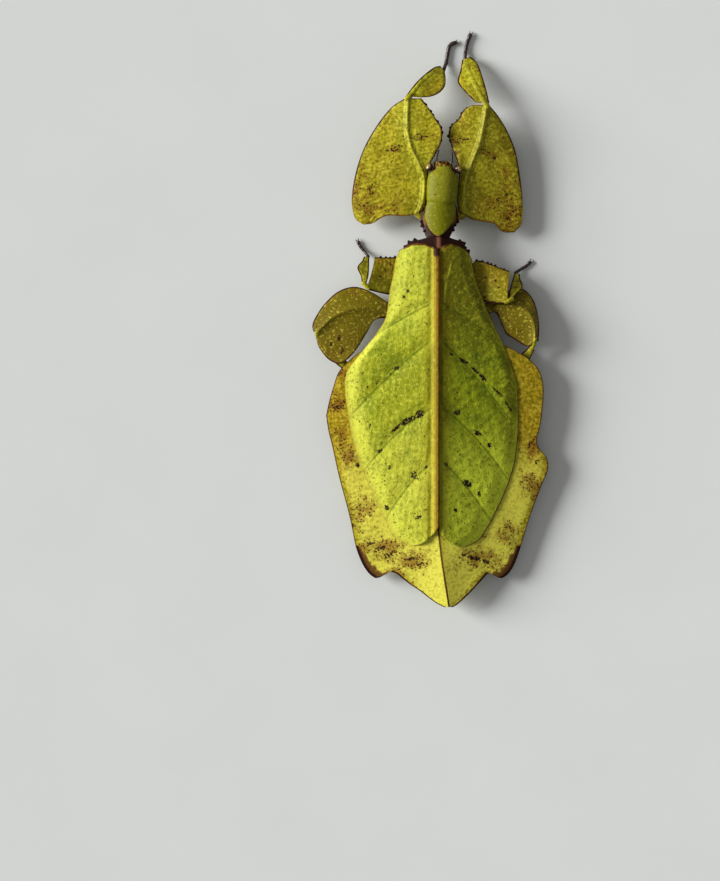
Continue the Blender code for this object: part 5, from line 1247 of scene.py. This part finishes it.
EYE_TONES = {"cream": "a88a55", "stripe": "6e4a2a", "ring": "2a150c"}
CARD_TONES = {"base": "d2d4d1", "light": "d8dad7"}

skin_cuticle = cuticle("insect_cuticle", SKIN_TONES)
leathers = {"left": wing_leather("left_wing_lit_leather", LEFT_LIT_TONES),
            "right": wing_leather("right_wing_shaded_leather", RIGHT_SHADED_TONES)}
dark_horn = horn("dark_foot_cuticle", FOOT_TONES, 0.38)
jaw_horn = horn("brown_jaw_cuticle", JAW_TONES, 0.35)
eye_surface = eye_glass("cream_eye_facets", EYE_TONES)


def finish_piece(obj, material, slot, *nodes):
    """Gives a piece its material, ties it to the body and hides the nodes that it stands for.
    The slot is not used.
    """
    obj.data.materials.clear()
    obj.data.materials.append(material)
    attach(obj, "root")
    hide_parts(*nodes)
    return obj


# The skin: trunk, head and legs in one closed surface. The neck runs into both the thorax and the head.
NECK_LENGTH, NECK_INTO_THORAX, NECK_DROP = 2.9, 1.5, 0.2
NECK_RADIUS, NECK_FLATNESS = 3.55, 0.73
NECK_STEPS, NECK_SIDES = 8, 64
pieces = [trunk(), head()]
neck_start = HEAD_REAR - head_ahead * NECK_INTO_THORAX
neck = [neck_start + head_ahead * NECK_LENGTH * t - UP * NECK_DROP for t in np.linspace(0, 1, NECK_STEPS)]
pieces.append(rod(neck, [NECK_RADIUS] * NECK_STEPS, NECK_SIDES, flatten=NECK_FLATNESS, smooth=1.0,
                  rust=0.12, fleck=NO_FLECKS))
pieces.append(mouth_plate(across=0.0, share=0.925, half_wide=1.1, half_share=0.032, drop=1.3, smooth=1.0,
                          rust=0.3))

for word, side in SIDES:
    collar = trunk_margin(PRO_ROWS[2:6], side, lambda x, y: PRO_TOP - PRO_FALL * (x - PRO_MIDDLE) ** 2 - 0.3)
    pieces += teeth(collar, (0.3, 26.0), 0.1, 1.0, 11 + side, spacing=1.25, length=0.42, half_wide=0.5)
    shoulder = trunk_margin(MESO_ROWS[1:5], side, lambda x, y: float(back(x, y)) - GAP - 0.3)
    pieces += teeth(shoulder, (0.0, 17.0), 0.0, 1.0, 21 + side, spacing=1.6, length=0.65, half_wide=0.65)

for seed, (word, side) in enumerate(SIDES):
    fore, mid, hind = FORE_LEGS[word], MID_LEGS[word], HIND_LEGS[word]
    pieces.append(limb(fore["shaft"], [(fore["outer"], fore["base"]), (fore["inner"],)],
                       FEMUR_RADII["fore"], 180, fore["streaks"], fore["rings"], gold=0.25, seed=31 + seed,
                       flecks=fore["flecks"], deep=fore["deep"], bare=fore["bare"],
                       crease_height=FEMUR_CREASE))
    pieces += teeth(fore["inner"], fore["shaft"][4], 0.58, 0.96, 41 + seed, spacing=1.6,
                    length=fore["tooth_length"], half_wide=0.5)
    pieces.append(limb(fore["shin"], [(fore["shin_outer"],), (fore["shin_inner"],)], SHIN_RADII["fore"], 70,
                       gold=0.6, ridge=0.25, seed=51 + seed))
    pieces.append(knee(fore["shaft"][-1], fore["shin"][0], KNEE_RADII["fore"]))
    pieces.append(limb(mid["shaft"], [(mid["front"], mid["front_base"], mid["front_end"]), (mid["rear"],)],
                       FEMUR_RADII["mid"], 70, mid["marks"], gold=0.6, ridge=0.3, seed=61 + seed,
                       deep=0.55))
    pieces += teeth(mid["front"], mid["shaft"][2], 0.05, 0.95, 71 + seed, spacing=1.3, length=0.4,
                    half_wide=0.35)
    pieces.append(limb(mid["shin"], [(mid["shin_outer"],), (mid["shin_inner"],)], SHIN_RADII["mid"], 45,
                       gold=0.6, ridge=0.3, seed=81 + seed))
    pieces.append(knee(mid["shaft"][-1], mid["shin"][0], KNEE_RADII["mid"]))
    pieces.append(limb(hind["shaft"], [(hind["front"],), (hind["rear"],)], FEMUR_RADII["hind"], 110,
                       hind["marks"], gold=0.7, ridge=0.4, seed=91 + seed, deep=0.9))
    shin = np.array(hind["shin"])
    ahead = np.gradient(shin[:, :2], axis=0)
    beside = np.stack([ahead[:, 1], -ahead[:, 0], 0 * ahead[:, 0]], -1)
    beside *= np.array(HIND_SHIN_HALVES)[:, None] / np.linalg.norm(beside, axis=1, keepdims=True)
    pieces.append(limb(shin, [(shin + beside,), (shin - beside,)], SHIN_RADII["hind"], 50, gold=0.7,
                       ridge=0.3, seed=101 + seed))
    pieces.append(knee(hind["shaft"][-1], hind["shin"][0], KNEE_RADII["hind"]))
for start, end, radius, rust in HIPS:
    start, end = np.array(start), np.array(end)
    line = [start + (end - start) * t for t in np.linspace(*HIP_REACH, 10)]
    pieces.append(rod(line, radius * np.linspace(1.1, 0.85, 10), 24, rust=rust))

flesh = ["head", "labrum", "prothorax", "mesothorax", "metathorax", "abdomen_front", "abdomen_rear",
         "abdomen_tip"]
for word, side in SIDES:
    for leg in ("fore", "mid", "hind"):
        flesh += [f"{leg}_{part}_{word}" for part in ("coxa", "femur", "tibia")]
finish_piece(joined("insect_skin", pieces), skin_cuticle, "body", *flesh)

for word, side in SIDES:
    finish_piece(as_object("leaf_wing_" + word, wing(word, side)), leathers[word], "wing",
                 "fore_wing_" + word)
    finish_piece(as_object("compound_eye_" + word, eye(side)), eye_surface, "eye", "eye_" + word)
    finish_piece(as_object("feeler_" + word, antenna(word, side)), dark_horn, "dark", "antenna_" + word)
    jaw = mouth_plate(across=side * 0.7, share=0.845, half_wide=0.5, half_share=0.033, drop=1.2)
    finish_piece(as_object("jaw_" + word, jaw), jaw_horn, "dark", "mandible_" + word)
    finish_piece(as_object("mouth_feeler_" + word, palp(side)), jaw_horn, "dark", "palp_" + word)
    for leg, plans in (("fore", FORE_LEGS), ("mid", MID_LEGS), ("hind", HIND_LEGS)):
        foot_pieces = foot(plans[word]["foot"], FOOT_RADII[leg])
        finish_piece(joined(f"{leg}_foot_{word}", foot_pieces), dark_horn, "dark", f"{leg}_tarsus_{word}")

# Under the tail: the plate that guides the eggs, and the two small leaf-like cerci behind it, which lie a
# little off the middle line and spread towards their tips.
TAIL_PLATE_FLATNESS = 0.4
TAIL_PLATE_STEPS, TAIL_PLATE_SIDES = 24, 24
CERCUS_OFF, CERCUS_SPREAD = 0.95, 0.36


def under_tail(front, rear, radii, side):
    """A small flat leaf under the tail, on its middle line or beside it."""
    shares = np.linspace(0, 1, TAIL_PLATE_STEPS)
    y = front + (rear - front) * shares
    x = axis(y) + side * (CERCUS_OFF + CERCUS_SPREAD * shares)
    z = np.interp(y, *KEEL) - GAP * 0.4 - TAIL_PLATE_FLATNESS * max(radii)
    wide = curve([(k, r) for k, r in enumerate(radii)], shares)[:, 1]
    path = np.stack([x, y, z], -1)
    return rod(path, wide, TAIL_PLATE_SIDES, TAIL_PLATE_FLATNESS, gold=0.5, rust=0.15)


egg_plate = under_tail(-54.0, -62.6, [1.1, 1.5, 1.3, 0.5], 0)
finish_piece(as_object("egg_plate", egg_plate), skin_cuticle, "body", "subgenital_plate")
for word, side in SIDES:
    tail_leaf = under_tail(-63.4, -66.6, [0.45, 0.8, 0.75, 0.3], side)
    finish_piece(as_object("tail_leaf_" + word, tail_leaf), skin_cuticle, "body", "cercus_" + word)

# Floor, light and camera
FLOOR_HALF = 1500.0
corners = [(x * FLOOR_HALF * MM, y * FLOOR_HALF * MM, 0) for x, y in ((-1, -1), (1, -1), (1, 1), (-1, 1))]
floor_mesh = bpy.data.meshes.new("floor")
floor_mesh.from_pydata(corners, [], [(0, 1, 2, 3)])
floor_mesh.materials.append(card("pale_card", CARD_TONES))
floor = bpy.data.objects.new("floor", floor_mesh)
scene.collection.objects.link(floor)
floor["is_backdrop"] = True

ROOM_STRENGTH = 0.28
scene.world = bpy.data.worlds.new("studio")
scene.world.use_nodes = True
room = scene.world.node_tree.nodes["Background"]
room.inputs["Color"].default_value = (1.0, 1.0, 1.0, 1.0)
room.inputs["Strength"].default_value = ROOM_STRENGTH

# The main light comes from the insect's left and a little from the front, as in the photo. It is far away
# and as broad as a big soft box, so the floor is evenly lit.
KEY_TOWARDS = (560, -130, -215)
KEY_WIDTH = math.radians(29)
KEY_STRENGTH = 6.05
key_data = bpy.data.lights.new("key_light", "SUN")
key_data.energy = KEY_STRENGTH
key_data.angle = KEY_WIDTH
key_light = bpy.data.objects.new("key_light", key_data)
key_light.rotation_euler = Vector(KEY_TOWARDS).to_track_quat("-Z", "Y").to_euler()
scene.collection.objects.link(key_light)

# The camera looks straight down. The photo's frame is 720 by 881 pixels at 4 pixels a millimetre.
PHOTO_WIDE, PHOTO_HIGH = 720, 881
PIXELS_EACH_MM = 4.0
BODY_PIXEL = (437.5, 330.0)
CAMERA_HEIGHT = 600.0
MEASURED_HEIGHT = 5.0
SENSOR = 36.0
centre_x = (PHOTO_WIDE / 2 - BODY_PIXEL[0]) / PIXELS_EACH_MM + SHIFT[0]
centre_y = (BODY_PIXEL[1] - PHOTO_HIGH / 2) / PIXELS_EACH_MM + SHIFT[1]
camera_data = bpy.data.cameras.new("camera")
camera_data.sensor_width = SENSOR
camera_data.lens = SENSOR * (CAMERA_HEIGHT - MEASURED_HEIGHT) / (PHOTO_HIGH / PIXELS_EACH_MM)
camera_data.clip_start = 0.01
camera = bpy.data.objects.new("camera", camera_data)
camera.location = (centre_x * MM, centre_y * MM, CAMERA_HEIGHT * MM)
scene.collection.objects.link(camera)
scene.camera = camera
scene.view_settings.view_transform = "Standard"
